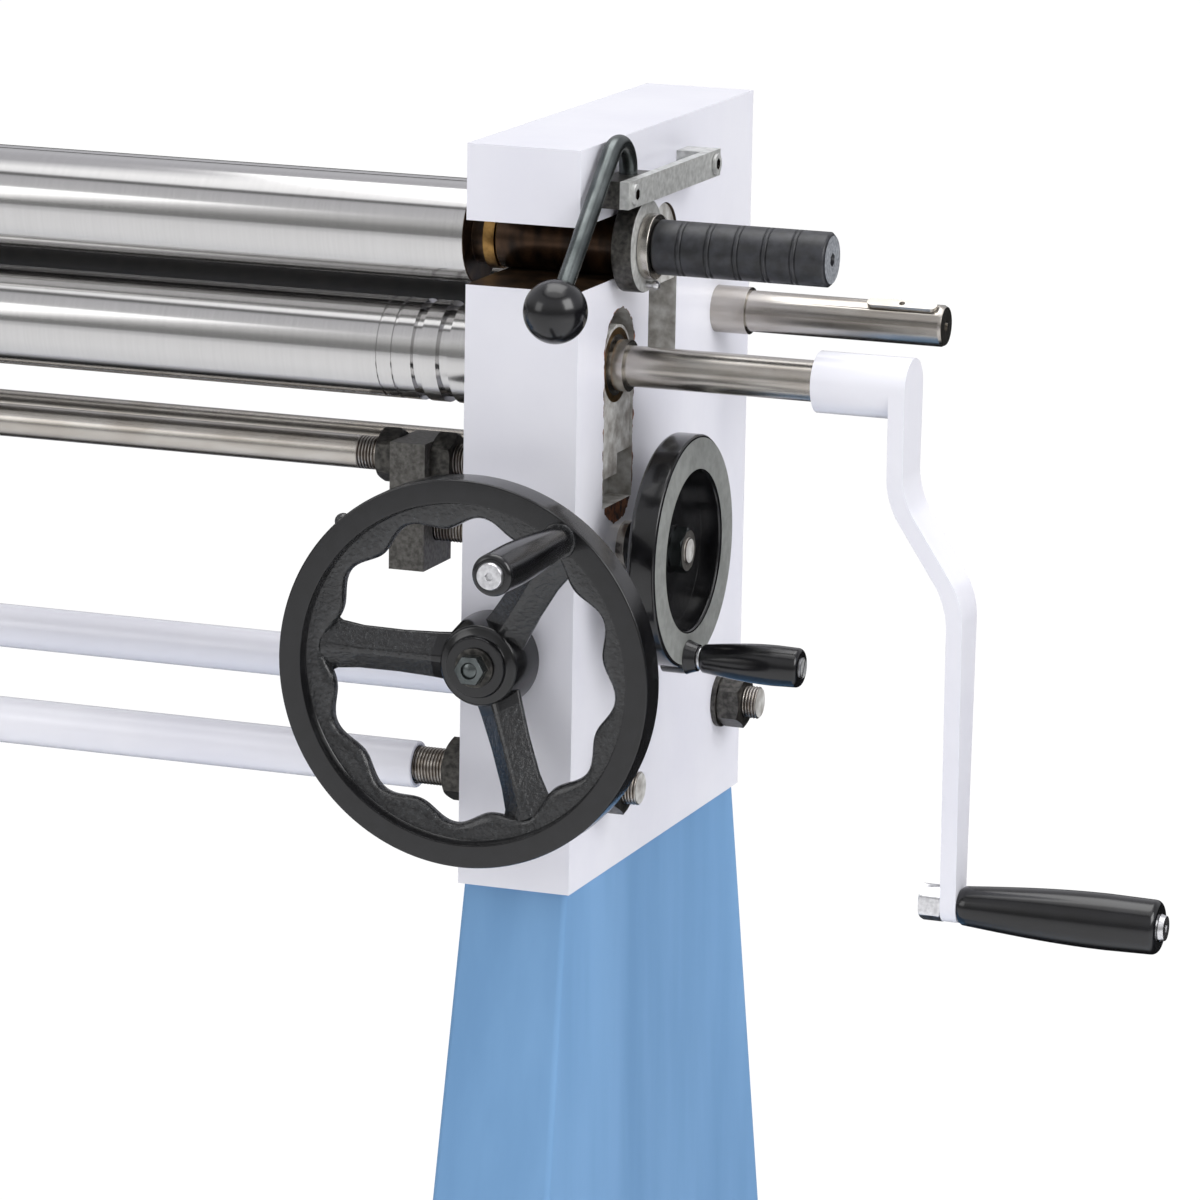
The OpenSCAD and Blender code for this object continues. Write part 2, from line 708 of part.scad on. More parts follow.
module base_plate() {
  plate_w = stand_foot_w + 2 * foot_side_lip;
  plate_d = stand_foot_d + 2 * foot_lip;
  hole_y = plate_d / 2 - foot_hole_edge;
  difference() {
    translate([-plate_w / 2, -plate_d / 2, 0]) cube([plate_w, plate_d, plate_t]);
    for (sx = [-1, 1]) for (sy = [-1, 1])
      translate([sx * foot_hole_pitch / 2, sy * hole_y, -cut])
        cylinder(d = foot_hole_d, h = plate_t + 2 * cut);
    translate([-plate_w / 4, -plate_d / 4, -cut])
      cube([plate_w / 2, plate_d / 2, plate_t + 2 * cut]);
  }
}

module stand(side) {
  color(blue) machine() mirror([side < 0 ? 1 : 0, 0, 0])
    translate([span / 2 + house_mid_x, house_d / 2, 0]) {
      base_plate();
      difference() {
        column(0, plate_t, stand_h);
        column(sheet_t, plate_t - cut, stand_h - plate_t);
        for (sx = [-1, 1]) for (sy = [-1, 1])
          translate([sx * house_bolt_x, sy * (house_d / 2 - house_bolt_y),
            stand_h - plate_t - cut])
            cylinder(r = house_bolt_d / 2 + run_gap, h = plate_t + 2 * cut);
      }
    }
}

module right_stand() { stand(right); }
module left_stand() { stand(left); }

// Housings

module slot_cut(y, low, high) {
  translate([-cut, y - slot_r, low]) cube([house_w + 2 * cut, slot_w, high - slot_r - low]);
  rod_x(slot_r, -cut, house_w + cut, y, high - slot_r);
}

module housing_hollow() {
  inner_w = house_w - 2 * side_wall;
  translate([side_wall, end_wall, -cut])
    cube([inner_w, house_d - 2 * end_wall, guide_z + cut]);
  translate([side_wall, guide_d, guide_z - cut])
    cube([inner_w, house_d - end_wall - guide_d, house_h - roof_t - guide_z + cut]);
}

module c_slot_cut(back) {
  translate([-cut, -cut, upper_z - c_slot_h / 2])
    cube([house_w + 2 * cut, pinch_y + back + cut, c_slot_h]);
}

module housing_bores() {
  slot_cut(pinch_y, slot_bottom_z, front_slot_top_z);
  slot_cut(rear_y, rear_slot_bottom_z, rear_slot_top_z);
  rod_x(tie_stud_d / 2 + run_gap, -cut, house_w + cut, front_tie_y, front_tie_z);
  rod_x(tie_stud_d / 2 + run_gap, -cut, house_w + cut, rear_tie_y, rear_tie_z);
  rod_x(lay_bush_d / 2, -cut, house_w + cut, lay_y, lay_z);
  rod_x(thin_rod_d / 2 + run_gap, -cut, stay_seat, stay_y, wedge_rod_z);
  rod_y(front_barrel_r, -cut, end_wall + cut, front_wheel_x, front_wheel_z);
  rod_z(lift_sleeve_d / 2 + run_gap, guide_z - cut, rear_slot_bottom_z + cut,
    front_wheel_x, rear_y);
  for (sx = [-1, 1]) for (y = [house_bolt_y, house_d - house_bolt_y])
    rod_z(house_bolt_d / 2 + run_gap, -cut, house_bolt_grip, house_mid_x + sx * house_bolt_x, y);
}

module right_housing() {
  color(white) at_end(right) difference() {
    cube([house_w, house_d, house_h]);
    housing_hollow();
    housing_bores();
    c_slot_cut(0);
    rod_x(c_slot_h / 2, -cut, house_w + cut, pinch_y, upper_z);
    rod_x(side_barrel_r, -cut, house_w + cut, wedge_rod_y, side_screw_z);
    rod_x(latch_screw_d / 2 + run_gap, house_w - latch_screw_grip, house_w + cut,
      latch_pivot_y, latch_mid_z);
  }
}

module left_housing() {
  color(white) at_end(left) difference() {
    cube([house_w, house_d, house_h]);
    housing_hollow();
    housing_bores();
    c_slot_cut(swing_slot_back);
    rod_z(swing_pin_d / 2 + run_gap, swing_pin_z, house_h + cut, house_mid_x, swing_y);
    rod_x(stud_d / 2 + run_gap, house_w - stud_d, house_w + cut, idler_y, idler_z);
    for (spot = cover_screw_spots)
      rod_x(cover_screw_d / 2 + run_gap, house_w - side_wall - cut, house_w + cut,
        spot[0], spot[1]);
  }
}

// Hexagon nut with chamfered corners and a plain bore
module nut_x(flats, x0, x1, y, z, hole_r) {
  corner = flats / cos(30) / 2;
  slope = (corner - flats / 2) * 0.6;
  h = x1 - x0;
  difference() {
    intersection() {
      hex_x(flats, x0, x1, y, z);
      translate([x0, y, z]) rotate([0, 90, 0]) rotate_extrude()
        polygon([[0, 0], [flats / 2, 0], [corner, slope], [corner, h - slope],
          [flats / 2, h], [0, h]]);
    }
    if (hole_r > 0) rod_x(hole_r, x0 - cut, x1 + cut, y, z);
  }
}

// Ring along x
module ring_x(outer_r, inner_r, x0, x1, y, z) {
  difference() {
    rod_x(outer_r, x0, x1, y, z);
    rod_x(inner_r, x0 - cut, x1 + cut, y, z);
  }
}

// Tie rods and the two thin rods

module tie_spots() {
  translate([0, front_tie_y, front_tie_z]) children();
  translate([0, rear_tie_y, rear_tie_z]) children();
}

module tie_rods() {
  half = span / 2 - tie_end_gap;
  color(white) machine() translate([0, 0, stand_h]) tie_spots() difference() {
    rod_x(tie_d / 2, -half, half, 0, 0);
    for (side = [left, right])
      rod_x(tie_thread_d / 2 + run_gap, side * half - tie_thread_grip,
        side * half + tie_thread_grip, 0, 0);
  }
}

module tie_rod_studs() {
  outer_l = washer_t + tie_outer_h + tie_stud_past;
  color(steel) at_both_ends() tie_spots() {
    thread_x(tie_thread_d / 2, -tie_end_gap - tie_thread_grip, 0, 0, 0, screw_pitch);
    rod_x(tie_stud_d / 2, 0, house_w, 0, 0);
    thread_x(tie_stud_d / 2, house_w, house_w + outer_l, 0, 0, screw_pitch);
  }
}

module tie_rod_nuts() {
  color(dark_steel) at_both_ends() tie_spots() {
    nut_x(tie_inner_af, -tie_inner_h, 0, 0, 0, tie_thread_d / 2 + run_gap);
    nut_x(tie_outer_af, house_w + washer_t, house_w + washer_t + tie_outer_h, 0, 0,
      tie_stud_d / 2 + run_gap);
  }
}

module tie_rod_washers() {
  color(dark_steel) at_both_ends() tie_spots()
    ring_x(washer_d / 2, tie_stud_d / 2 + run_gap, house_w, house_w + washer_t, 0, 0);
}

module stay_rod() {
  color(steel) long_rod(thin_rod_d / 2, stay_seat, stay_y, wedge_rod_z);
}

module rod_guides() {
  low_y = wedge_rod_y - guide_reach;
  high_y = stay_y + guide_reach;
  round_r = guide_h / 4;
  color(black) at_both_ends() difference() {
    translate([-guide_t, 0, wedge_rod_z]) rotate([90, 0, 90]) linear_extrude(guide_t)
      rounded_rect(low_y, high_y, -guide_h / 2, guide_h / 2, round_r);
    for (y = [wedge_rod_y, stay_y])
      rod_x(thin_rod_d / 2 + run_gap, -guide_t - cut, cut, y, wedge_rod_z);
  }
}

// Flat rectangle with round corners, from its low to its high corner
module rounded_rect(low_x, high_x, low_y, high_y, r) {
  translate([low_x + r, low_y]) square([high_x - low_x - 2 * r, high_y - low_y]);
  translate([low_x, low_y + r]) square([high_x - low_x, high_y - low_y - 2 * r]);
  for (x = [low_x + r, high_x - r]) for (y = [low_y + r, high_y - r])
    translate([x, y]) circle(r = r);
}

// Gear cover, screws, bushes and stud

module gear_cover() {
  color(white) at_end(left) difference() {
    union() {
      difference() {
        translate([house_w, 0, 0]) rotate([90, 0, 90]) linear_extrude(cover_depth)
          rounded_rect(cover_front_y, cover_back_y, cover_bottom_z, cover_high_z,
            cover_post_d / 2);
        translate([house_w - cut, 0, 0]) rotate([90, 0, 90])
          linear_extrude(cover_depth - cover_t + cut)
            rounded_rect(cover_front_y + cover_t, cover_back_y - cover_t,
              cover_bottom_z + cover_t, cover_high_z - cover_t, cover_post_d / 2 - cover_t);
      }
      for (spot = cover_screw_spots)
        rod_x(cover_post_d / 2, house_w, house_w + cover_depth - cover_t / 2,
          spot[0], spot[1]);
    }
    for (spot = cover_screw_spots)
      rod_x(cover_screw_d / 2 + run_gap, house_w - cut, house_w + cover_depth + cut,
        spot[0], spot[1]);
  }
}

module cap_screws() {
  color(dark_steel) {
    at_end(left) for (spot = cover_screw_spots) {
      rod_x(cover_screw_d / 2, house_w - side_wall, house_w + cover_depth, spot[0], spot[1]);
      difference() {
        rod_x(cover_screw_d * 0.8, house_w + cover_depth,
          house_w + cover_depth + cover_head_h, spot[0], spot[1]);
        hex_x(cover_screw_d * 0.6, house_w + cover_depth + cover_head_h / 3,
          house_w + cover_depth + cover_head_h + cut, spot[0], spot[1]);
      }
    }
    at_both_ends() for (sx = [-1, 1]) for (y = [house_bolt_y, house_d - house_bolt_y]) {
      x = house_mid_x + sx * house_bolt_x;
      rod_z(house_bolt_d / 2, -plate_t, house_bolt_grip, x, y);
      rod_z(house_bolt_d * 0.7, -plate_t - house_bolt_head_h, -plate_t, x, y);
    }
  }
}

module housing_bushes() {
  color(steel) {
    at_end(right) difference() {
      union() {
        rod_x(side_hub_d / 2, house_w, house_w + side_bush_t, wedge_rod_y, side_screw_z);
        rod_x(side_barrel_r, house_w - side_wall - bush_t, house_w, wedge_rod_y, side_screw_z);
      }
      rod_x(screw_d / 2 + run_gap, 0, 2 * house_w, wedge_rod_y, side_screw_z);
    }
    at_both_ends() {
      difference() {
        union() {
          rod_y(front_barrel_r + bush_t, -front_bush_t, 0, front_wheel_x, front_wheel_z);
          rod_y(front_barrel_r, 0, end_wall + bush_t, front_wheel_x, front_wheel_z);
        }
        rod_y(wheel_shaft_d / 2 + run_gap, -2 * front_bush_t, 2 * end_wall,
          front_wheel_x, front_wheel_z);
      }
      ring_x(lay_bush_d / 2, lay_d / 2 + lay_shoulder + run_gap, -roll_end_gap,
        house_w + lay_bush_reach, lay_y, lay_z);
    }
  }
}

module idler_stud() {
  gear_end = house_w + idler_x + gear_w + slip_gap;
  color(steel) at_end(left) {
    rod_x(stud_d / 2, house_w - stud_d, gear_end, idler_y, idler_z);
    rod_x(stud_d * 0.8, house_w, house_w + idler_x - slip_gap, idler_y, idler_z);
    rod_x(stud_d * 0.75, gear_end, gear_end + bush_t, idler_y, idler_z);
  }
}

// Latch

module latch_pivot() {
  head_x = latch_bar_x + latch_bar_t + slip_gap;
  color(dark_steel) at_end(right) {
    rod_x(latch_screw_d / 2, house_w - latch_screw_grip, head_x, latch_pivot_y, latch_mid_z);
    socket_head(head_x, latch_pivot_y);
    difference() {
      translate([house_w, latch_pivot_y - latch_tail, latch_bar_z])
        cube([latch_block_w, 2 * latch_tail, latch_bar_h]);
      rod_x(latch_screw_d / 2 + run_gap, house_w - cut, latch_bar_x + cut,
        latch_pivot_y, latch_mid_z);
    }
  }
}

module socket_head(x, y) {
  difference() {
    rod_x(latch_head_d / 2, x, x + latch_head_h, y, latch_mid_z);
    hex_x(latch_head_d / 2, x + latch_head_h / 3, x + latch_head_h + cut, y, latch_mid_z);
  }
}

module latch_bar() {
  color(dark_steel) at_end(right) difference() {
    translate([latch_bar_x, latch_front, latch_bar_z])
      cube([latch_bar_t, latch_pivot_y + latch_tail - latch_front, latch_bar_h]);
    for (y = [latch_front + latch_tail, latch_pivot_y])
      rod_x(latch_screw_d / 2 + run_gap, latch_bar_x - cut, latch_bar_x + latch_bar_t + cut,
        y, latch_mid_z);
  }
}

module latch_block() {
  front_y = latch_front + latch_tail;
  color(dark_steel) at_end(right) {
    difference() {
      translate([latch_bar_x - latch_block_w, latch_front, latch_low_z])
        cube([latch_block_w, latch_block_l, latch_bar_h]);
      rod_z(lever_d / 2, latch_low_z + latch_bar_h / 4, lever_top_z, lever_x, lever_foot_y);
    }
    rod_x(latch_screw_d / 2, latch_bar_x - cut, latch_bar_x + latch_bar_t, front_y,
      latch_mid_z);
    socket_head(latch_bar_x + latch_bar_t, front_y);
  }
}

module lever_plane() {
  translate([lever_x, 0, 0]) rotate([90, 0, 90]) children();
}

module latch_lever() {
  straight = norm(ball_centre - lever_leave) - ball_d * 0.3;
  color(black) at_end(right) {
    rod_z(lever_d / 2 - run_gap, latch_low_z + latch_bar_h / 4, lever_centre[1], lever_x,
      lever_foot_y);
    lever_plane() translate(lever_centre)
      rotate_extrude(angle = lever_leave_angle + 360) translate([lever_bend_r, 0])
        circle(d = lever_d);
    lever_plane() translate(lever_leave)
      rotate([0, 90, lever_leave_angle + 450])
        cylinder(r = lever_d / 2 - run_gap, h = straight);
  }
}

module ball_knob() {
  color(black) at_end(right) lever_plane() difference() {
    translate(ball_centre) sphere(d = ball_d);
    translate(lever_leave) rotate([0, 90, lever_leave_angle + 450])
      cylinder(r = lever_d / 2, h = norm(ball_centre - lever_leave) - ball_d * 0.3);
  }
}

// Upper roll and its release

module upper_roll() {
  shoulder_x = -bronze_ring_gap - bronze_ring_t - slip_gap;
  collar_x = house_w + release_ring_gap + release_ring_t + slip_gap;
  collar_end = collar_x + bright_collar_t;
  swing_x = house_mid_x - swing_block_w / 2 - slip_gap;
  color(bright) {
    machine() rod_x(roll_d / 2, -span / 2 + upper_end_gap, span / 2 - upper_end_gap,
      pinch_y, stand_h + upper_z);
    at_end(right) {
      rod_x(upper_shoulder_d / 2, -upper_end_gap, shoulder_x, pinch_y, upper_z);
      rod_x(upper_journal_d / 2, -upper_end_gap, collar_end, pinch_y, upper_z);
      rod_x(bright_collar_d / 2, collar_x, collar_end, pinch_y, upper_z);
      rod_x(rubber_spigot_d / 2, collar_end, collar_end + rubber_grip_l - 2 * grip_hole_depth,
        pinch_y, upper_z);
    }
    at_end(left) {
      rod_x(upper_shoulder_d / 2, -upper_end_gap, swing_x, pinch_y, upper_z);
      rod_x(upper_journal_d / 2, -upper_end_gap, swing_x + swing_block_w, pinch_y, upper_z);
    }
  }
}

// Half outline of the ribbed rubber grip, up its axis
function rubber_outline() =
  let (r = rubber_grip_d / 2, low = r - rib_groove_depth, round_r = r / 8)
  concat([[0, 0], [r - round_r, 0], [r, round_r]],
    [for (i = [1 : 5]) for (k = [-1, 1])
      let (z = i * rib_pitch + k * (rib_between + rib_groove_w) / 2)
      each [[r, z - rib_groove_w / 2], [low, z - rib_groove_w / 4],
        [low, z + rib_groove_w / 4], [r, z + rib_groove_w / 2]]],
    [[r, rubber_grip_l - round_r], [r - round_r, rubber_grip_l], [0, rubber_grip_l]]);

module upper_grip() {
  grip_x = house_w + release_ring_gap + release_ring_t + bright_collar_t + slip_gap;
  color(black) at_end(right) difference() {
    translate([grip_x, pinch_y, upper_z]) rotate([0, 90, 0])
      rotate_extrude() polygon(rubber_outline());
    rod_x(rubber_spigot_d / 2 + run_gap, grip_x - cut,
      grip_x + rubber_grip_l - 2 * grip_hole_depth + run_gap, pinch_y, upper_z);
    hex_x(grip_hole_d, grip_x + rubber_grip_l - grip_hole_depth,
      grip_x + rubber_grip_l + cut, pinch_y, upper_z);
  }
}

module release_ring() {
  flange_x = house_w + release_ring_gap;
  color(dark_steel) at_end(right) difference() {
    union() {
      rod_x(sleeve_d / 2, -bronze_ring_gap, flange_x, pinch_y, upper_z);
      rod_x(release_ring_d / 2, flange_x, flange_x + release_ring_t, pinch_y, upper_z);
    }
    rod_x(upper_journal_d / 2 + run_gap, -2 * bronze_ring_gap, 2 * house_w, pinch_y, upper_z);
  }
}

module bronze_ring() {
  color(bronze) at_end(right)
    ring_x(bronze_ring_d / 2, upper_journal_d / 2 + run_gap, -bronze_ring_gap - bronze_ring_t,
      -bronze_ring_gap, pinch_y, upper_z);
}

module grease_nipple() {
  nipple_z = upper_z - bright_collar_d / 2 - nipple_d * 0.6;
  face_x = house_w + release_ring_gap + release_ring_t;
  color(bright) at_end(right) {
    rod_x(nipple_d * 0.35, face_x, face_x + nipple_d, pinch_y, nipple_z);
    translate([face_x + nipple_d, pinch_y, nipple_z]) sphere(d = nipple_d);
  }
}

module swing_bearing() {
  low_y = swing_y - swing_block_front;
  color(dark_steel) at_end(left) difference() {
    translate([house_mid_x - swing_block_w / 2, low_y, upper_z - sleeve_d / 2])
      cube([swing_block_w, pinch_y + swing_block_back - low_y, sleeve_d]);
    rod_x(upper_journal_d / 2 + run_gap, -cut, house_w + cut, pinch_y, upper_z);
    rod_z(swing_pin_d / 2 + run_gap, 0, house_h, house_mid_x, swing_y);
  }
}

module swing_pin() {
  color(steel) at_end(left) {
    rod_z(swing_pin_d / 2, swing_pin_z, house_h, house_mid_x, swing_y);
    rod_z(swing_pin_d * 0.7, house_h, house_h + swing_pin_d / 4, house_mid_x, swing_y);
  }
}

// Lower roll, its bearings and the wedges under them

// Height of the wedge plane at a distance from the housing's inner face
function plane_z(side, x) = side == right
  ? wedge_thin_z + (right_wedge_x + wedge_l - x) * wedge_slope_share
  : wedge_thin_z + (x - left_wedge_x) * wedge_slope_share;

// Prism under the wedge plane, as thick as a bearing block
module under_plane(side, x0, x1, low, gap, half) {
  translate([0, pinch_y + half, 0]) rotate([90, 0, 0]) linear_extrude(2 * half)
    polygon([[x0, low], [x1, low], [x1, plane_z(side, x1) + gap],
      [x0, plane_z(side, x0) + gap]]);
}

module bearing_block(y, z, low, bore_r) {
  length = house_w - 2 * block_inset;
  difference() {
    union() {
      translate([block_inset, y - block_r, low]) cube([length, 2 * block_r, z - low]);
      rod_x(block_r, block_inset, block_inset + length, y, z);
    }
    rod_x(bore_r, -cut, house_w + cut, y, z);
  }
}

module lower_bearings() {
  bore_r = lower_journal_d / 2 + run_gap + bush_t;
  color(steel) for (side = [left, right]) at_end(side) difference() {
    bearing_block(pinch_y, lower_z, wedge_base_z, bore_r);
    under_plane(side, -cut, house_w + cut, 0, slip_gap, slot_w);
    translate([-cut, wedge_rod_y - thin_rod_d / 2 - slip_gap, 0])
      cube([house_w + 2 * cut, slot_w, wedge_rod_top_z]);
  }
}

module lower_bushes() {
  journal_r = lower_journal_d / 2 + run_gap;
  color(bronze) at_both_ends()
    ring_x(journal_r + bush_t, journal_r, block_inset, house_w - block_inset, pinch_y, lower_z);
}

module lower_roll() {
  crank_end = house_w + crank_hub_x + crank_hub_l - crank_arm_t / 2;
  gear_end = house_w + roll_gear_x + gear_w;
  body_end = span / 2 - roll_end_gap;
  color(bright) {
    machine() difference() {
      rod_x(roll_d / 2, -body_end, body_end, pinch_y, stand_h + lower_z);
      for (i = [0 : 3]) let (w = groove_w * groove_size_shares[i],
          x = span / 2 - groove_reach * groove_place_shares[i],
          depth = groove_depth * groove_size_shares[i])
        ring_x(roll_d, roll_d / 2 - depth, x - w / 2, x + w / 2, pinch_y, stand_h + lower_z);
    }
    at_both_ends() rod_x(lower_journal_d / 2, -roll_end_gap, house_w - block_inset, pinch_y,
      lower_z);
    at_end(right) rod_x(crank_shaft_d / 2, house_w - block_inset, crank_end, pinch_y, lower_z);
    at_end(left) rod_x(crank_shaft_d / 2, house_w - block_inset, gear_end, pinch_y, lower_z);
  }
}

module shaft_collar() {
  color(steel) at_end(right) ring_x(shaft_collar_d / 2, crank_shaft_d / 2 + run_gap,
    house_w + slip_gap, house_w + slip_gap + shaft_collar_t, pinch_y, lower_z);
}

module roll_gear() {
  color(steel) at_end(left) translate([house_w + roll_gear_x, pinch_y, lower_z])
    rotate([90, 0, 90]) difference() {
      linear_extrude(gear_w)
        polygon(gear_outline(roll_gear_r, roll_gear_teeth, gear_module, 0.4));
      translate([0, 0, -cut])
        cylinder(r = crank_shaft_d / 2 + run_gap, h = gear_w + 2 * cut);
    }
}

module lift_wedges() {
  color(dark_steel) for (side = [left, right]) at_end(side) {
    x0 = side == right ? right_wedge_x : left_wedge_x;
    difference() {
      under_plane(side, x0, x0 + wedge_l, wedge_base_z, 0, block_r);
      rod_x(spigot_d / 2 + run_gap, x0 - cut, x0 + spigot_l, wedge_rod_y, wedge_rod_z);
    }
  }
}

module wedge_rod() {
  nut_zone = adjuster_nut_h + screw_pitch * 2;
  thread_start = -adjuster_gap - adjuster_w - nut_zone;
  thread_end = -adjuster_gap + nut_zone;
  color(steel) {
    machine() rod_x(thin_rod_d / 2, -span / 2 - left_wedge_x, span / 2 + thread_start,
      wedge_rod_y, stand_h + wedge_rod_z);
    at_end(right) {
      thread_x(thin_rod_d / 2, thread_start, thread_end, wedge_rod_y, wedge_rod_z,
        screw_pitch);
      rod_x(thin_rod_d / 2, thread_end, right_wedge_x, wedge_rod_y, wedge_rod_z);
      rod_x(spigot_d / 2, right_wedge_x, right_wedge_x + spigot_l, wedge_rod_y, wedge_rod_z);
    }
    at_end(left) rod_x(spigot_d / 2, left_wedge_x, left_wedge_x + spigot_l, wedge_rod_y,
      wedge_rod_z);
  }
}

module adjuster_block() {
  x0 = -adjuster_gap - adjuster_w;
  color(dark_steel) at_end(right) difference() {
    translate([x0, wedge_rod_y - adjuster_d / 2, adjuster_z])
      cube([adjuster_w, adjuster_d, adjuster_h]);
    rod_x(thin_rod_d / 2 + run_gap, x0 - cut, cut - adjuster_gap, wedge_rod_y, wedge_rod_z);
    rod_x(screw_d / 2 + run_gap, x0 - cut, cut - adjuster_gap, wedge_rod_y, side_screw_z);
  }
}

module adjuster_nuts() {
  x0 = -adjuster_gap - adjuster_w;
  hole_r = thin_rod_d / 2 + run_gap;
  color(dark_steel) at_end(right) {
    nut_x(adjuster_nut_af, x0 - adjuster_nut_h, x0, wedge_rod_y, wedge_rod_z, hole_r);
    nut_x(adjuster_nut_af, -adjuster_gap, -adjuster_gap + adjuster_nut_h, wedge_rod_y,
      wedge_rod_z, hole_r);
  }
}

// Side handwheel

module side_wheel() {
  r = side_wheel_d / 2;
  inner_r = r - side_face_w;
  rim_x = house_w + side_rim_x;
  edge = side_rim_t / 5;
  color(black) at_end(right) difference() {
    union() {
      translate([0, wedge_rod_y, side_screw_z]) rotate([0, 90, 0]) rotate_extrude()
        polygon(concat(
          [for (a = [180 : 15 : 270]) [inner_r + edge + edge * cos(a), rim_x + edge + edge * sin(a)]],
          [for (a = [270 : 15 : 360]) [r - edge + edge * cos(a), rim_x + edge + edge * sin(a)]],
          [[r, side_rim_end - edge / 2], [r - edge / 2, side_rim_end],
            [inner_r + edge / 2, side_rim_end], [inner_r, side_rim_end - edge / 2]]));
      rod_x(inner_r + edge, side_web_x, side_web_x + side_web_t, wedge_rod_y, side_screw_z);
      rod_x(side_hub_d / 2, side_hub_x, side_hub_end, wedge_rod_y, side_screw_z);
      rod_x(side_boss_r, rim_x + edge, side_rim_end + slip_gap, side_grip_y, side_grip_z);
    }
    rod_x(screw_d / 2 + run_gap, house_w, 2 * house_w, wedge_rod_y, side_screw_z);
    rod_x(spindle_d / 3 + run_gap, house_w, 2 * house_w, side_grip_y, side_grip_z);
  }
}

module adjusting_screw() {
  start = -adjuster_gap - adjuster_w - screw_past;
  color(steel) at_end(right) {
    thread_x(screw_d / 2, start, 0, wedge_rod_y, side_screw_z, screw_pitch);
    rod_x(screw_d / 2, 0, side_hub_end, wedge_rod_y, side_screw_z);
    thread_x(screw_d / 2, side_hub_end, side_hub_end + side_nut_h + screw_pitch / 2, wedge_rod_y,
      side_screw_z, screw_pitch);
  }
}

module side_wheel_nut() {
  color(dark_steel) at_end(right)
    nut_x(screw_d * 1.5, side_hub_end, side_hub_end + side_nut_h, wedge_rod_y, side_screw_z,
      screw_d / 2 + run_gap);
}

module side_spindle() {
  start = side_rim_end + 2 * slip_gap;
  color(bright) at_end(right) translate([start, side_grip_y, side_grip_z])
    rotate([0, 90, 0]) grip_spindle(side_grip_l, spindle_d * 2 / 3, side_rim_t / 2);
}

module side_grip() {
  start = side_rim_end + 2 * slip_gap;
  color(black) at_end(right) translate([start, side_grip_y, side_grip_z])
    rotate([0, 90, 0]) grip_body(side_grip_l, side_grip_d, spindle_d / 3 + run_gap);
}

// Rear roll and its lift

module rear_bearings() {
  low = rear_z - slot_r;
  color(steel) at_both_ends() difference() {
    bearing_block(rear_y, rear_z, low, rear_journal_d / 2 + run_gap);
    rod_z(lift_screw_d / 2 + run_gap, low - cut, low + lift_pitch, front_wheel_x, rear_y);
  }
}

module rear_lift_screws() {
  high = rear_z - slot_r + lift_pitch;
  color(steel) at_both_ends() translate([front_wheel_x, rear_y, lift_screw_bottom_z])
    rotate_extrude() polygon(thread_outline(lift_screw_d / 2, high - lift_screw_bottom_z,
      lift_pitch));
}

module rear_roll() {
  body_end = span / 2 - roll_end_gap;
  color(bright) {
    machine() rod_x(roll_d / 2, -body_end, body_end, rear_y, stand_h + rear_z);
    at_both_ends() rod_x(rear_journal_d / 2, -roll_end_gap, house_w - 2 * block_inset, rear_y,
      rear_z);
  }
}

// Bevel gear with its wide end at z = 0, narrowing upwards
module bevel(turn) {
  narrow_share = (bevel_r - bevel_face) / bevel_r;
  linear_extrude(bevel_face, scale = narrow_share) rotate(turn)
    polygon(gear_outline(bevel_r, bevel_teeth, bevel_module, 0.36));
}

module lift_nut(side) {
  flange_z = rear_slot_bottom_z + slip_gap;
  gear_z = front_wheel_z + bevel_r;
  neck_z = guide_z - end_wall;
  color(steel) at_end(side) difference() {
    union() {
      rod_z(lift_flange_d / 2, flange_z, flange_z + lift_flange_t, front_wheel_x, rear_y);
      rod_z(lift_sleeve_d / 2, neck_z, flange_z, front_wheel_x, rear_y);
      rod_z(bevel_r - bevel_module, gear_z, neck_z, front_wheel_x, rear_y);
      translate([front_wheel_x, rear_y, gear_z]) mirror([0, 0, 1]) bevel(90);
    }
    rod_z(lift_screw_d / 2 + run_gap, 0, house_h, front_wheel_x, rear_y);
  }
}

module right_lift_nut() { lift_nut(right); }
module left_lift_nut() { lift_nut(left); }

// Front handwheels: z runs forwards along the shaft, from the housing's front face

module wheel_frame(side) {
  at_end(side) translate([front_wheel_x, 0, front_wheel_z]) rotate([90, 0, 0]) children();
}

function scallop_outline() = [for (a = [0 : 2 : 358])
  (scallop_mid_r + scallop_h * cos(scallop_count * (a - spoke_angle))) * [cos(a), sin(a)]];

// Outline of a spoke, seen from the front, along the first axis
function spoke_outline() = [[0, -spoke_hub_w / 2], [front_hub_d / 2, -spoke_hub_w / 2],
  [scallop_mid_r + scallop_w / 2, -spoke_rim_w / 2],
  [scallop_mid_r + scallop_w / 2, spoke_rim_w / 2],
  [front_hub_d / 2, spoke_hub_w / 2], [0, spoke_hub_w / 2]];

module spoke() {
  hub_z = front_rim_back - spoke_t * 1.6;
  rim_z = front_rim_y - scallop_back - spoke_t - slip_gap;
  outer = scallop_mid_r + scallop_w / 2;
  intersection() {
    linear_extrude(front_rim_y) polygon(spoke_outline());
    translate([0, spoke_rim_w, 0]) rotate([90, 0, 0]) linear_extrude(2 * spoke_rim_w)
      polygon([[front_hub_d / 4, hub_z], [front_hub_d / 2, hub_z], [outer, rim_z],
        [outer, rim_z + spoke_t], [front_hub_d / 2, hub_z + spoke_t],
        [front_hub_d / 4, hub_z + spoke_t]]);
  }
}

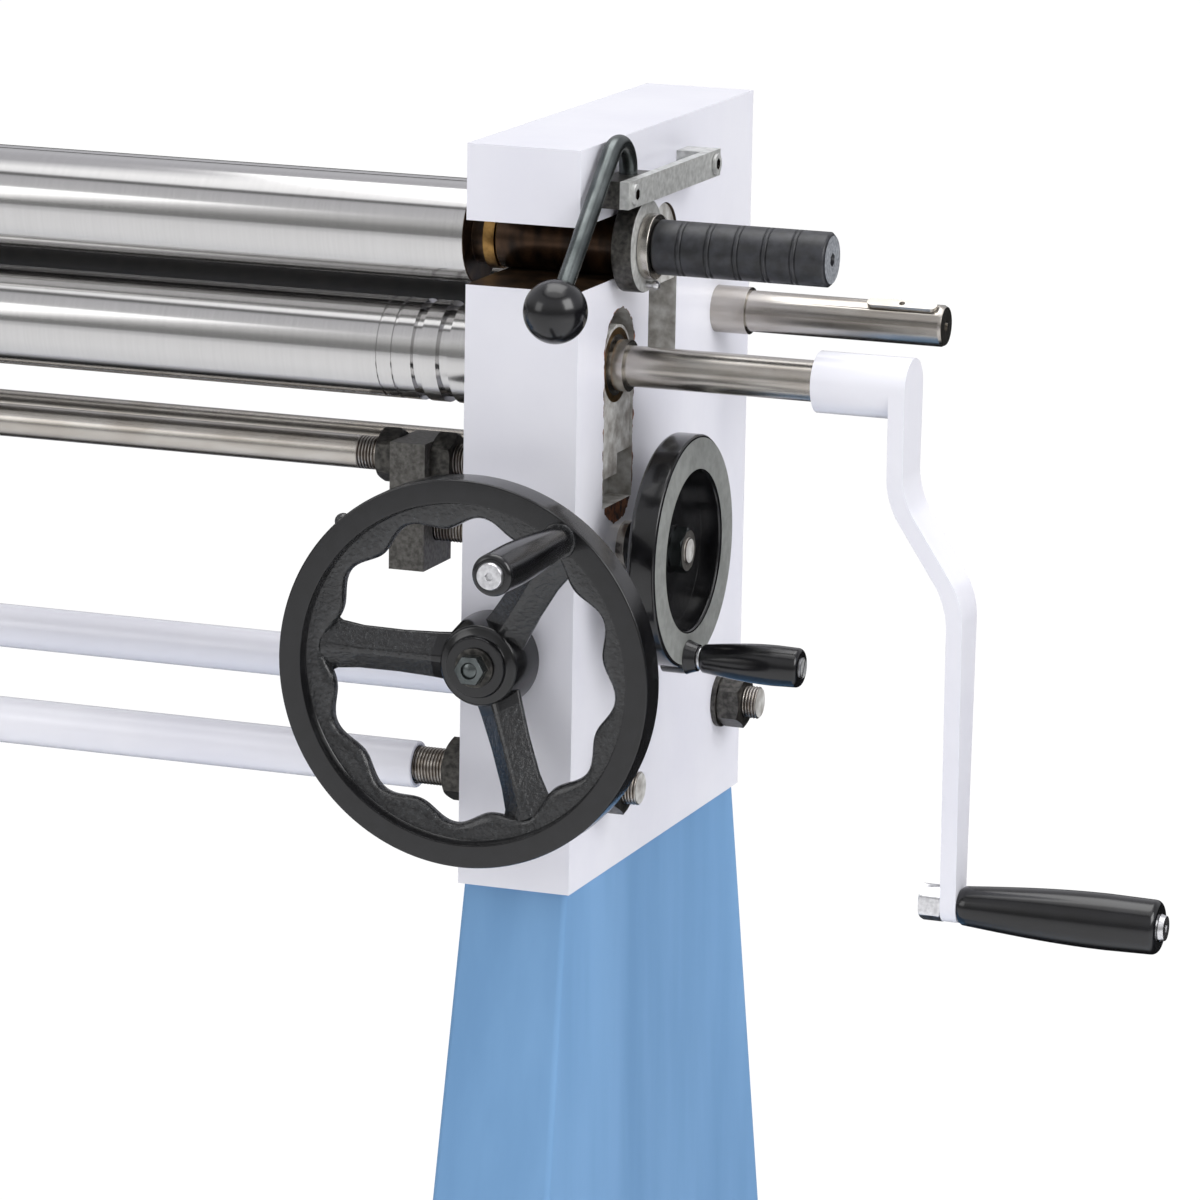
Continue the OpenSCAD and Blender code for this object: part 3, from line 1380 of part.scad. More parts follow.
module front_wheel(side) {
  r = front_wheel_d / 2;
  inner_r = r - front_face_w;
  edge = front_face_w / 5;
  band_z = front_rim_y - scallop_back - scallop_t;
  color(black) wheel_frame(side) difference() {
    union() {
      rotate_extrude() polygon(concat(
        [[inner_r, front_rim_y - edge / 2]],
        [for (a = [180 : 30 : 270])
          [inner_r + edge + edge * cos(a), front_rim_back + edge + edge * sin(a)]],
        [for (a = [270 : 30 : 360])
          [r - edge + edge * cos(a), front_rim_back + edge + edge * sin(a)]],
        [[r, front_rim_y - edge / 2], [r - edge / 2, front_rim_y],
          [inner_r + edge / 2, front_rim_y]]));
      translate([0, 0, band_z]) linear_extrude(scallop_t) difference() {
        circle(r = inner_r + edge / 2);
        polygon(scallop_outline());
      }
      translate([0, 0, front_hub_end]) cylinder(d = front_hub_d, h = front_hub_l * 0.85);
      translate([0, 0, front_hub_end]) cylinder(d = front_hub_d * 0.72, h = front_hub_l);
      for (i = [0 : 2]) rotate(spoke_angle + 120 * i) spoke();
      rotate(spoke_angle) translate([front_grip_r, 0, band_z + slip_gap])
        cylinder(d = front_face_w * 1.5, h = front_boss_z - band_z - slip_gap);
    }
    translate([0, 0, -cut])
      cylinder(r = wheel_shaft_d / 2 + run_gap, h = front_rim_back - front_hub_l * 0.15 + cut);
    cylinder(d = front_bolt_d + 2 * run_gap, h = front_rim_y);
    rotate(spoke_angle) translate([front_grip_r, 0, 0])
      cylinder(r = spindle_d / 2 + run_gap, h = 2 * front_rim_y);
  }
}

module wheel_shaft(side) {
  tip = front_rim_back - front_hub_l * 0.15;
  gear_z = bevel_r - bevel_apex_y;
  color(steel) wheel_frame(side) {
    difference() {
      translate([0, 0, gear_z]) cylinder(d = wheel_shaft_d, h = tip - gear_z);
      translate([0, 0, tip - front_hub_l / 2])
        cylinder(d = front_bolt_d + 2 * run_gap, h = front_hub_l);
    }
    translate([0, 0, -end_wall - bush_t - slip_gap - bush_t])
      cylinder(d = wheel_shaft_d + 2 * bush_t, h = bush_t);
    translate([0, 0, gear_z]) mirror([0, 0, 1]) bevel(90 + 180 / bevel_teeth);
  }
}

module wheel_bolts(side) {
  tip = front_rim_back - front_hub_l * 0.15;
  head_z = front_rim_back + front_washer_t;
  color(dark_steel) wheel_frame(side) {
    translate([0, 0, tip - front_hub_l / 2])
      cylinder(d = front_bolt_d, h = head_z - tip + front_hub_l / 2);
    translate([0, 0, front_rim_back]) cylinder(d = front_bolt_d * 2.4, h = front_washer_t);
    translate([0, 0, head_z]) difference() {
      cylinder(d = front_bolt_d * 1.9, h = front_bolt_d * 0.8, $fn = 6);
      translate([0, 0, front_bolt_d * 0.5]) cylinder(d = front_bolt_d, h = front_bolt_d);
    }
    rotate(spoke_angle) translate([front_grip_r, 0, front_boss_z + slip_gap])
      grip_spindle(front_grip_l, spindle_d, front_rim_t / 2);
  }
}

module front_grip(side) {
  color(black) wheel_frame(side) rotate(spoke_angle)
    translate([front_grip_r, 0, front_boss_z + slip_gap])
      grip_body(front_grip_l, front_grip_d, spindle_d / 2 + run_gap);
}

module right_front_wheel() { front_wheel(right); }
module left_front_wheel() { front_wheel(left); }
module right_wheel_shaft() { wheel_shaft(right); }
module left_wheel_shaft() { wheel_shaft(left); }
module right_wheel_bolts() { wheel_bolts(right); }
module left_wheel_bolts() { wheel_bolts(left); }
module right_front_grip() { front_grip(right); }
module left_front_grip() { front_grip(left); }

// Crank

// Side view of the crank's arm: x outwards, z upwards from the crank shaft
function crank_side() =
  let (lean = atan2(crank_step, crank_step_h), mitre = crank_arm_t * tan(lean / 2),
    low = -crank_throw - crank_end_w, high = crank_hub_d, bend = -crank_straight,
    foot = -crank_straight - crank_step_h)
  [[0, high], [0, bend], [crank_step, foot], [crank_step, low],
    [crank_step + crank_arm_t, low], [crank_step + crank_arm_t, foot + mitre],
    [crank_arm_t, bend + mitre], [crank_arm_t, high]];

module crank_arm() {
  color(white) at_end(right) difference() {
    union() {
      rod_x(crank_hub_d / 2, house_w + crank_hub_x, crank_arm_x + cut, pinch_y, lower_z);
      intersection() {
        translate([crank_arm_x, pinch_y + crank_hub_d, lower_z]) rotate([90, 0, 0])
          linear_extrude(2 * crank_hub_d) polygon(crank_side());
        translate([crank_arm_x, pinch_y, lower_z]) rotate([90, 0, 90])
          linear_extrude(2 * crank_step + crank_arm_t) {
            circle(d = crank_hub_d);
            translate([0, -crank_throw]) circle(d = crank_end_w);
            polygon([[crank_hub_d / 2, 0], [-crank_hub_d / 2, 0],
              [-crank_end_w / 2, -crank_throw], [crank_end_w / 2, -crank_throw]]);
          }
      }
    }
    rod_x(crank_shaft_d / 2 + run_gap, 0, crank_arm_x - crank_arm_t / 2, pinch_y, lower_z);
    rod_x(spindle_d / 2 + run_gap, 0, 2 * crank_end_x, pinch_y, lower_z - crank_throw);
  }
}

module crank_spindle() {
  z = lower_z - crank_throw;
  nut_end = crank_end_x - crank_arm_t;
  start = crank_end_x + slip_gap;
  color(steel) at_end(right) {
    nut_x(spindle_d * 2, nut_end - spindle_d * 1.4, nut_end, pinch_y, z, 0);
    translate([start, pinch_y, z]) rotate([0, 90, 0])
      grip_spindle(crank_grip_l, spindle_d, crank_arm_t + slip_gap);
  }
}

module crank_grip() {
  start = crank_end_x + slip_gap;
  color(black) at_end(right) translate([start, pinch_y, lower_z - crank_throw])
    rotate([0, 90, 0]) grip_body(crank_grip_l, crank_grip_d, spindle_d / 2 + run_gap);
}

// Second shaft with its key, pinion and idler

module layshaft() {
  tip = house_w + lay_reach;
  gear_end = house_w + idler_x + gear_w;
  bevel_edge = key_rise;
  color(steel) machine() difference() {
    union() {
      rod_x(lay_d / 2 + lay_shoulder, -span / 2 - gear_end,
        span / 2 + house_w + lay_bush_reach, lay_y, stand_h + lay_z);
      rod_x(lay_d / 2, 0, span / 2 + tip - bevel_edge, lay_y, stand_h + lay_z);
      translate([span / 2 + tip - bevel_edge, lay_y, stand_h + lay_z]) rotate([0, 90, 0])
        cylinder(r1 = lay_d / 2, r2 = lay_d / 2 - bevel_edge / 2, h = bevel_edge);
    }
    translate([span / 2 + tip - key_edge - key_l / 2, lay_y, stand_h + lay_z])
      rotate([key_angle, 0, 0]) key_shape(0, lay_d / 2 - key_depth, lay_d, 0);
    rod_x(lay_d / 8, span / 2 + tip - lay_d / 2, span / 2 + tip + cut, lay_y,
      stand_h + lay_z);
  }
}

// Round-ended key along x, standing on z, wider all round by a gap
module key_shape(gap, low, high, offset_x) {
  r = key_w / 2 + gap;
  half = key_l / 2 - key_w / 2;
  translate([-half + offset_x, -r, low]) cube([2 * half, 2 * r, high - low]);
  for (x = [-half, half]) translate([x + offset_x, 0, low]) cylinder(r = r, h = high - low);
}

module layshaft_key() {
  tip = house_w + lay_reach;
  color(steel) at_end(right)
    translate([tip - key_edge - key_l / 2, lay_y, lay_z]) rotate([key_angle, 0, 0]) difference() {
      key_shape(-run_gap, lay_d / 2 - key_depth, lay_d / 2 + key_rise, 0);
      translate([0, 0, lay_d / 2]) cylinder(d = key_w / 2, h = key_rise + cut);
    }
}

module gear_frame(y, z) {
  at_end(left) translate([house_w + idler_x, y, z]) rotate([90, 0, 90]) children();
}

module spur_gear(r, teeth, turn, hole_r) {
  difference() {
    linear_extrude(gear_w) rotate(turn) polygon(gear_outline(r, teeth, gear_module, 0.36));
    translate([0, 0, -cut]) cylinder(r = hole_r, h = gear_w + 2 * cut);
  }
}

module layshaft_pinion() {
  color(steel) gear_frame(lay_y, lay_z)
    spur_gear(pinion_r, pinion_teeth, mesh_aim + half_turn + half_turn / pinion_teeth,
      lay_d / 2 + lay_shoulder + run_gap);
}

module idler_gear() {
  color(steel) gear_frame(idler_y, idler_z)
    spur_gear(idler_r, idler_teeth, mesh_aim, stud_d / 2 + run_gap);
}

right_stand();
left_stand();
right_housing();
left_housing();
tie_rods();
tie_rod_studs();
tie_rod_nuts();
tie_rod_washers();
stay_rod();
rod_guides();
gear_cover();
cap_screws();
housing_bushes();
idler_stud();
latch_pivot();
swing_pin();
lower_bearings();
lower_bushes();
lower_roll();
crank_arm();
crank_spindle();
shaft_collar();
roll_gear();
crank_grip();
lift_wedges();
wedge_rod();
adjuster_block();
adjuster_nuts();
side_wheel();
adjusting_screw();
side_wheel_nut();
side_spindle();
side_grip();
rear_bearings();
rear_lift_screws();
rear_roll();
right_front_wheel();
right_wheel_shaft();
right_wheel_bolts();
right_front_grip();
left_front_wheel();
left_wheel_shaft();
left_wheel_bolts();
left_front_grip();
right_lift_nut();
left_lift_nut();
swing_bearing();
release_ring();
bronze_ring();
grease_nipple();
upper_roll();
upper_grip();
latch_bar();
latch_block();
latch_lever();
ball_knob();
layshaft();
layshaft_key();
layshaft_pinion();
idler_gear();
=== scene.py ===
import json
from math import atan2, cos, hypot, pi, radians, sin, tau

import bmesh
import bpy
from mathutils import Matrix, Vector


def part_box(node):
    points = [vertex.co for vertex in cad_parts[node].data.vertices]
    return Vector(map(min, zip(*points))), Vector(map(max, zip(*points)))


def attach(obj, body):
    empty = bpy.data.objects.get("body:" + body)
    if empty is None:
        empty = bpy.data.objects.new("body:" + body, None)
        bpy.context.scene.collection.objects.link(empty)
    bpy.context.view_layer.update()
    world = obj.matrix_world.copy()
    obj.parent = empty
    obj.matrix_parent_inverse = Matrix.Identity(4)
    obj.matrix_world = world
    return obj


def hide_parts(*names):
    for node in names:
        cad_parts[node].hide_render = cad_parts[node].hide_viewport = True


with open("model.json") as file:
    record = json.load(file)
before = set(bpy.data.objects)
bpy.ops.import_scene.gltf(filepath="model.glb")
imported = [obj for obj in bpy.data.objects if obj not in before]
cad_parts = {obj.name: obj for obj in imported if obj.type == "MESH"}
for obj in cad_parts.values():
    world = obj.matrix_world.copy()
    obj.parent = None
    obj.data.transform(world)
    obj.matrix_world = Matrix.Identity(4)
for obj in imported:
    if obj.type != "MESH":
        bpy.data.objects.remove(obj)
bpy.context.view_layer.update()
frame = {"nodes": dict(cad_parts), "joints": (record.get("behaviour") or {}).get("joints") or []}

# Camera. A long lens at head height, in front of the machine and to its right, turned left and
# down onto the crank's end, as for a catalogue picture. The lens is worked out for a square frame
# 1200 pixels wide.
camera_place = Vector((2.0608, -4.1007, 1.7426))
camera_turn, camera_drop, camera_roll = radians(20.40), radians(12.33), radians(1.03)
focal_length_px, frame_px = 5985, 1200
sensor_mm = 36

lens = bpy.data.cameras.new("catalogue_lens")
lens.sensor_width = sensor_mm
lens.lens = sensor_mm * focal_length_px / frame_px
camera = bpy.data.objects.new("catalogue_camera", lens)
camera.matrix_world = (
    Matrix.Translation(camera_place)
    @ Matrix.Rotation(camera_turn, 4, "Z")
    @ Matrix.Rotation(pi / 2 - camera_drop, 4, "X")
    @ Matrix.Rotation(camera_roll, 4, "Z")
)
bpy.context.scene.collection.objects.link(camera)
bpy.context.scene.camera = camera
bpy.context.scene.view_settings.view_transform = "Standard"


# Studio. A pale floor under a white room, lit by three soft panels: right, left and overhead. The
# rolls mirror a pale wall in front of the machine and darkness low behind it as long bands; behind
# the machine the floor is painted dark as shadow, seen only in reflections. The camera sees the
# room white.
def linear(hex_code):
    """An sRGB colour such as "#8899AA" as the linear numbers that a socket takes."""
    parts = [int(hex_code[i:i + 2], 16) / 255 for i in (1, 3, 5)]
    return [p / 12.92 if p <= 0.04045 else ((p + 0.055) / 1.055) ** 2.4 for p in parts] + [1]


def add_node(tree, kind, inputs=None, **settings):
    """Adds a shader node. An input is a plain value, or another node's socket to link."""
    node = tree.nodes.new("ShaderNode" + kind)
    for name, value in settings.items():
        setattr(node, name, value)
    for key, value in (inputs or {}).items():
        if isinstance(value, bpy.types.NodeSocket):
            tree.links.new(value, node.inputs[key])
        else:
            node.inputs[key].default_value = value
    return node


# Each band is a height, from the horizon up, and the room's tone there.
front_bands = [(0.0, "#747474"), (0.16, "#7F7F7F"), (0.32, "#A5A5A5"), (0.55, "#B7B7B9"),
               (0.80, "#ADADB0"), (0.815, "#3A3A3A"), (0.85, "#3A3A3A"), (0.865, "#F6F6F8"),
               (1.0, "#FFFFFF")]
rear_bands = [(0.0, "#0A0A0A"), (0.08, "#101010"), (0.17, "#9A9A9D"), (0.45, "#B0B0B4"),
              (0.86, "#A4A4A8"), (0.92, "#F6F6F8"), (1.0, "#FFFFFF")]
room_strength = 1.6

room = bpy.data.worlds.new("white_room")
bpy.context.scene.world = room
room.use_nodes = True
tree = room.node_tree
direction = add_node(tree, "SeparateXYZ", {0: add_node(tree, "TexCoord").outputs["Generated"]})
tones = []
for stops in (front_bands, rear_bands):
    bands = add_node(tree, "ValToRGB", {0: direction.outputs["Z"]})
    while len(bands.color_ramp.elements) < len(stops):
        bands.color_ramp.elements.new(0.5)
    for stop, (place, tone) in zip(bands.color_ramp.elements, stops):
        stop.position, stop.color = place, linear(tone)
    tones.append(bands.outputs[0])
behind = add_node(tree, "MapRange", {0: direction.outputs["Y"], 1: -0.02, 2: 0.10}).outputs[0]
around = add_node(tree, "Mix", {0: behind, 6: tones[0], 7: tones[1]}, data_type="RGBA")
rays = add_node(tree, "LightPath")
seen_white = add_node(tree, "Mix", {0: rays.outputs["Is Camera Ray"], 6: around.outputs[2],
                                    7: (1, 1, 1, 1)}, data_type="RGBA")
strength = add_node(tree, "Mix", {0: rays.outputs["Is Camera Ray"], 2: room_strength, 3: 1.0})
tree.links.new(seen_white.outputs[2], tree.nodes["Background"].inputs["Color"])
tree.links.new(strength.outputs[0], tree.nodes["Background"].inputs["Strength"])

floor_half = 12.0
floor_shape = bmesh.new()
bmesh.ops.create_grid(floor_shape, x_segments=1, y_segments=1, size=floor_half)
floor_mesh = bpy.data.meshes.new("studio_floor")
floor_shape.to_mesh(floor_mesh)
floor_shape.free()
floor = bpy.data.objects.new("studio_floor", floor_mesh)
bpy.context.scene.collection.objects.link(floor)
pale_floor = bpy.data.materials.new("pale_floor")
pale_floor.use_nodes = True
tree = pale_floor.node_tree
paper = tree.nodes["Principled BSDF"]
rays = add_node(tree, "LightPath")
across_floor = add_node(tree, "SeparateXYZ", {0: add_node(tree, "TexCoord").outputs["Object"]})
# Painted shadow: in reflections the floor turns dark behind the machine, where its shadow falls.
painted_shadow_behind = add_node(tree, "MapRange", {0: across_floor.outputs["Y"], 1: -0.12, 2: 0.12}).outputs[0]
painted_shadow_behind = add_node(tree, "Math", {0: painted_shadow_behind, 1: rays.outputs["Is Glossy Ray"]},
                 operation="MULTIPLY").outputs[0]
paper_and_painted_shadow = add_node(tree, "Mix", {0: painted_shadow_behind, 6: linear("#F2F2F2"), 7: linear("#1C1C1C")},
                       data_type="RGBA")
tree.links.new(paper_and_painted_shadow.outputs[2], paper.inputs["Base Color"])
paper.inputs["Roughness"].default_value = 0.9
paper.inputs["Specular IOR Level"].default_value = 0.1
glow_strength, glow_share = 1.04, 0.93
glow = add_node(tree, "Emission", {"Color": (1, 1, 1, 1), "Strength": glow_strength})
half_lit = add_node(tree, "Math", {0: rays.outputs["Is Camera Ray"], 1: glow_share},
                    operation="MULTIPLY")
even_floor = add_node(tree, "MixShader", {0: half_lit.outputs[0], 1: paper.outputs[0],
                                          2: glow.outputs[0]})
tree.links.new(even_floor.outputs[0], tree.nodes["Material Output"].inputs["Surface"])
floor_mesh.materials.append(pale_floor)

lit_point = Vector((0.4, 0.0, 0.9))
for name, place, size, power in (
    ("softbox_right", (4.0, -1.2, 3.2), 2.4, 90),
    ("softbox_left", (-2.8, -3.6, 2.6), 2.2, 29),
    ("softbox_top", (0.3, 0.6, 4.2), 2.6, 44),
):
    softbox = bpy.data.lights.new(name, "AREA")
    softbox.size, softbox.energy = size, power
    panel = bpy.data.objects.new(name, softbox)
    panel.location = place
    aim = lit_point - Vector(place)
    panel.rotation_euler = aim.to_track_quat("-Z", "Y").to_euler()
    bpy.context.scene.collection.objects.link(panel)


# Stands. Each is a tapered column of folded 3 mm sheet steel on a welded base plate, sprayed with
# blue machine enamel: satin and very faintly mottled.
def new_material(name, colour, roughness, metallic=0.0):
    """A material, its node tree, its shader and the socket of the piece's own coordinates."""
    material = bpy.data.materials.new(name)
    material.use_nodes = True
    shader = material.node_tree.nodes["Principled BSDF"]
    shader.inputs["Base Color"].default_value = linear(colour)
    shader.inputs["Roughness"].default_value = roughness
    shader.inputs["Metallic"].default_value = metallic
    place = add_node(material.node_tree, "TexCoord").outputs["Object"]
    return material, material.node_tree, shader, place


def cloudy(tree, place, grain_mm, dark, light, detail=3.0, stretch=(1, 1, 1), low=0.35, high=0.65):
    """A colour that wanders between two tones in clouds of about that size."""
    scaled = add_node(tree, "Mapping", {"Vector": place, "Scale": stretch}).outputs[0]
    noise = add_node(tree, "TexNoise", {"Vector": scaled, "Scale": 1000 / grain_mm,
                                        "Detail": detail}).outputs["Fac"]
    share = add_node(tree, "MapRange", {0: noise, 1: low, 2: high}).outputs[0]
    return add_node(tree, "Mix", {0: share, 6: linear(dark), 7: linear(light)},
                    data_type="RGBA").outputs[2]


def rough_skin(tree, place, shader, grain_mm, depth_mm, detail=2.0, stretch=(1, 1, 1)):
    """Bumps of that size and depth on the shader's surface."""
    scaled = add_node(tree, "Mapping", {"Vector": place, "Scale": stretch}).outputs[0]
    noise = add_node(tree, "TexNoise", {"Vector": scaled, "Scale": 1000 / grain_mm,
                                        "Detail": detail}).outputs["Fac"]
    bump = add_node(tree, "Bump", {"Height": noise, "Distance": depth_mm / 1000, "Strength": 1.0})
    tree.links.new(bump.outputs[0], shader.inputs["Normal"])


def cad_copy(node):
    """A CAD node as a bmesh, its loose triangles joined and its flat faces made whole."""
    shape = bmesh.new()
    shape.from_mesh(frame["nodes"][node].data)
    bmesh.ops.remove_doubles(shape, verts=shape.verts, dist=2e-6)
    bmesh.ops.dissolve_limit(shape, angle_limit=radians(0.3), verts=shape.verts,
                             edges=shape.edges)
    return shape


def soften(shape, width, steps=3, angle=28, where=lambda edge: True):
    """Rounds the sharp edges of a shape, or those of them that where picks."""
    sharp = [edge for edge in shape.edges
             if edge.calc_face_angle(0) > radians(angle) and where(edge)]
    bmesh.ops.bevel(shape, geom=sharp, offset=width, affect="EDGES", segments=steps,
                    profile=0.5, material=-1, clamp_overlap=True)


def make_piece(shape, name, body, materials, nodes, sharp=46):
    """The finished piece: it rides on its body and stands for the CAD nodes."""
    mesh = bpy.data.meshes.new(name)
    shape.to_mesh(mesh)
    shape.free()
    mesh.shade_smooth()
    mesh.set_sharp_from_angle(angle=radians(sharp))
    for material in materials:
        mesh.materials.append(material)
    piece = bpy.data.objects.new(name, mesh)
    bpy.context.scene.collection.objects.link(piece)
    piece.modifiers.new("even_faces", "WEIGHTED_NORMAL").keep_sharp = True
    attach(piece, body)
    if nodes:
        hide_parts(*nodes)
    return piece


blue_enamel, tree, shader, place = new_material("blue_machine_enamel", "#739EC9", 0.5)
blue_clouds = cloudy(tree, place, 60, "#6C97C2", "#79A4CF", detail=6, stretch=(1, 1, 0.12))
tree.links.new(blue_clouds, shader.inputs["Base Color"])
shader.inputs["Specular IOR Level"].default_value = 0.35
rough_skin(tree, place, shader, 2.2, 0.03)

fold_edge, cut_edge = 0.0045, 0.0010
base_plate_middle, fold_rise = 0.0045, 0.4
for end in ("right", "left"):
    stand = cad_copy(f"{end}_stand")
    soften(stand, fold_edge, where=lambda edge: edge.is_convex and all(
        v.co.z > base_plate_middle for v in edge.verts)
        and abs(edge.verts[0].co.z - edge.verts[1].co.z) > fold_rise)
    soften(stand, cut_edge, steps=2, angle=60)
    make_piece(stand, f"{end}_stand_column", "root", [blue_enamel],
               [f"{end}_stand"])


# Housings. Grey iron castings, filled, rubbed down and sprayed glossy white with a lavender cast.
# Their bearing slots are milled after painting, so the slots' walls are bare, oily, rust-specked
# iron, and the paint is chipped back to brown along them. Up by the release ring the walls are
# dark brown: old oil, and painted shade.
slot_roll = Vector(next(j["pos_m"] for j in frame["joints"] if j["name"] == "lower_spin"))
slot_half = 0.030
slot_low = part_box("lift_wedges")[0].z
bearing_travel = 0.012
slot_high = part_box("lower_bearings")[1].z + bearing_travel - slot_half
release_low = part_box("release_ring")[0]

# White enamel: smooth and glossy, a little uneven over the filler.
white_enamel, tree, shader, place = new_material("white_machine_enamel", "#EBEBF3", 0.24)
white_clouds = cloudy(tree, place, 120, "#E8E8F1", "#EEEEF5", detail=4)
tree.links.new(white_clouds, shader.inputs["Base Color"])
shader.inputs["Coat Weight"].default_value = 0.3
shader.inputs["Coat Roughness"].default_value = 0.12
rough_skin(tree, place, shader, 9.0, 0.05)


def distance_to_slot(tree, place, across, low, high):
    """Distance of a point from an upright line in the housing's side, as the slots are cut."""
    apart = add_node(tree, "SeparateXYZ", {0: place})
    side = add_node(tree, "Math", {0: apart.outputs["Y"], 1: across}, operation="SUBTRACT")
    below = add_node(tree, "Math", {0: low, 1: apart.outputs["Z"]}, operation="SUBTRACT")
    above = add_node(tree, "Math", {0: apart.outputs["Z"], 1: high}, operation="SUBTRACT")
    beyond = add_node(tree, "Math", {0: below.outputs[0], 1: above.outputs[0]},
                      operation="MAXIMUM")
    beyond = add_node(tree, "Math", {0: beyond.outputs[0], 1: 0.0}, operation="MAXIMUM")
    flat = add_node(tree, "CombineXYZ", {"X": side.outputs[0], "Y": beyond.outputs[0]})
    return add_node(tree, "VectorMath", {0: flat.outputs[0]}, operation="LENGTH").outputs["Value"]


def chipped(tree, place, distance, edge, reach_mm, grain_mm):
    """1 where paint is chipped off near that distance, 0 where it holds."""
    noise = add_node(tree, "TexNoise", {"Vector": place, "Scale": 1000 / grain_mm,
                                        "Detail": 6.0, "Roughness": 0.6}).outputs["Fac"]
    reach = add_node(tree, "MapRange", {0: noise, 1: 0.42, 2: 0.72, 3: 0.0,
                                        4: reach_mm / 1000}).outputs[0]
    rim = add_node(tree, "Math", {0: distance, 1: edge}, operation="SUBTRACT").outputs[0]
    gone = add_node(tree, "Math", {0: reach, 1: rim}, operation="SUBTRACT").outputs[0]
    return add_node(tree, "MapRange", {0: gone, 1: 0.0, 2: 0.0004}).outputs[0]


# The same enamel at the right end, chipped to dull brown rust round the lower roll's slot.
chip_reach_mm, chip_grain_mm = 4.0, 11
paint_gloss, rust_gloss = 0.24, 0.75
worn_enamel, tree, shader, place = new_material("white_enamel_chipped_at_slots", "#EBEBF3",
                                                paint_gloss)
white_clouds = cloudy(tree, place, 120, "#E8E8F1", "#EEEEF5", detail=4)
rust = cloudy(tree, place, 5, "#2B1E18", "#8A5434", detail=5)
front_slot = distance_to_slot(tree, place, slot_roll.y, slot_low + slot_half / 2, slot_high)
chips = chipped(tree, place, front_slot, slot_half, chip_reach_mm, chip_grain_mm)
paint_or_rust = add_node(tree, "Mix", {0: chips, 6: white_clouds, 7: rust}, data_type="RGBA")
tree.links.new(paint_or_rust.outputs[2], shader.inputs["Base Color"])
dullness = add_node(tree, "MapRange", {0: chips, 3: paint_gloss, 4: rust_gloss}).outputs[0]
tree.links.new(dullness, shader.inputs["Roughness"])
rough_skin(tree, place, shader, 9.0, 0.05)

# Milled cast iron: pale grey, matt, with the milling's faint roughness.
bare_iron, tree, shader, place = new_material("milled_grey_iron", "#C4C3BF", 0.5, 0.2)
iron_tones = cloudy(tree, place, 9, "#95908A", "#DCDCD9", detail=8, low=0.3, high=0.7)
tree.links.new(iron_tones, shader.inputs["Base Color"])
rough_skin(tree, place, shader, 1.6, 0.12, detail=6)

# The same iron soaked in old oil: brown-black and shinier. Its darkness is partly painted shade.
oily_shaded_iron, tree, shader, place = new_material("oil_soaked_iron_painted_shade", "#2E241C", 0.35, 0.3)
oil_and_shade_tones = cloudy(tree, place, 14, "#1A1410", "#4E3B2A", detail=7)
tree.links.new(oil_and_shade_tones, shader.inputs["Base Color"])
rough_skin(tree, place, shader, 1.6, 0.12, detail=6)

casting_edge, cover_edge, inside_by, below_ring = 0.0016, 0.0012, 0.0005, 0.002
for end, outer_paint in (("right", worn_enamel), ("left", white_enamel)):
    housing = cad_copy(f"{end}_housing")
    low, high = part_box(f"{end}_housing")
    for face in housing.faces:
        middle = face.calc_center_median()
        inside = all(low[i] + inside_by < middle[i] < high[i] - inside_by for i in (1, 2))
        bare = inside and abs(face.normal.x) < 0.5
        # Up by the release ring the slot's walls are dark brown: old oil, and painted shade.
        oily_and_shaded = middle.z > release_low.z - below_ring
        face.material_index = 0 if not bare else 2 if oily_and_shaded else 1
    soften(housing, casting_edge, steps=3, angle=60)
    make_piece(housing, f"{end}_housing_casting", "root",
               [outer_paint, bare_iron, oily_shaded_iron], [f"{end}_housing"])

cover = cad_copy("gear_cover")
soften(cover, cover_edge, steps=2, angle=60)
make_piece(cover, "gear_cover_shell", "root", [white_enamel], ["gear_cover"])


# Tie rods. Two 35 mm bars, sprayed white like the castings, which hold the housings apart; black
# oxide nuts and washers clamp them on bright threaded studs, whose cut ends are dull grey.
rod_edge, nut_edge = 0.0012, 0.0005
rods = cad_copy("tie_rods")
soften(rods, rod_edge, steps=2, angle=60)
make_piece(rods, "white_tie_rods", "root", [white_enamel], ["tie_rods"])

# Turned steel: bright, faintly brown with oil, with fine marks round it.
turned_steel, tree, shader, place = new_material("turned_steel_oiled", "#B7B3AD", 0.26, 1.0)
steel_tones = cloudy(tree, place, 14, "#ABA59D", "#BDB9B3", detail=6, stretch=(0.3, 1, 1))
tree.links.new(steel_tones, shader.inputs["Base Color"])
rough_skin(tree, place, shader, 0.9, 0.002, detail=3, stretch=(1, 0.05, 0.05))

# Cut thread: bright crests over dark brown roots at the thread's pitch; the roots' darkness is
# painted shade, tinted brown as oil. The wave node repeats every pi / 10 units of its vector at a
# scale of one.
thread_with_shaded_roots, tree, shader, place = new_material("cut_thread_painted_shade_roots", "#7E756C", 0.34, 1.0)
thread_tones = cloudy(tree, place, 9, "#989087", "#C8C3BC", detail=6)
thread_pitch_mm, thread_bump = 2.5, 0.0008
ridges = add_node(tree, "TexWave", {"Vector": place, "Scale": pi / 10 * 1000 / thread_pitch_mm,
                                    "Distortion": 0.3, "Detail": 1.0}, wave_type="BANDS",
                  bands_direction="X").outputs["Fac"]
# Painted shade: the wave bands darken the thread's roots.
painted_shade_in_roots = add_node(tree, "Mix", {0: ridges, 6: linear("#3A2E24"), 7: thread_tones},
                        data_type="RGBA").outputs[2]
tree.links.new(painted_shade_in_roots, shader.inputs["Base Color"])
ridge_bump = add_node(tree, "Bump", {"Height": ridges, "Distance": thread_bump})
tree.links.new(ridge_bump.outputs[0], shader.inputs["Normal"])

# Black oxide: dark grey steel, half matt and slightly mottled.
black_oxide, tree, shader, place = new_material("black_oxide_steel", "#454441", 0.40, 0.75)
oxide_tones = cloudy(tree, place, 4, "#353432", "#585652", detail=7)
tree.links.new(oxide_tones, shader.inputs["Base Color"])
rough_skin(tree, place, shader, 1.8, 0.03, detail=5)

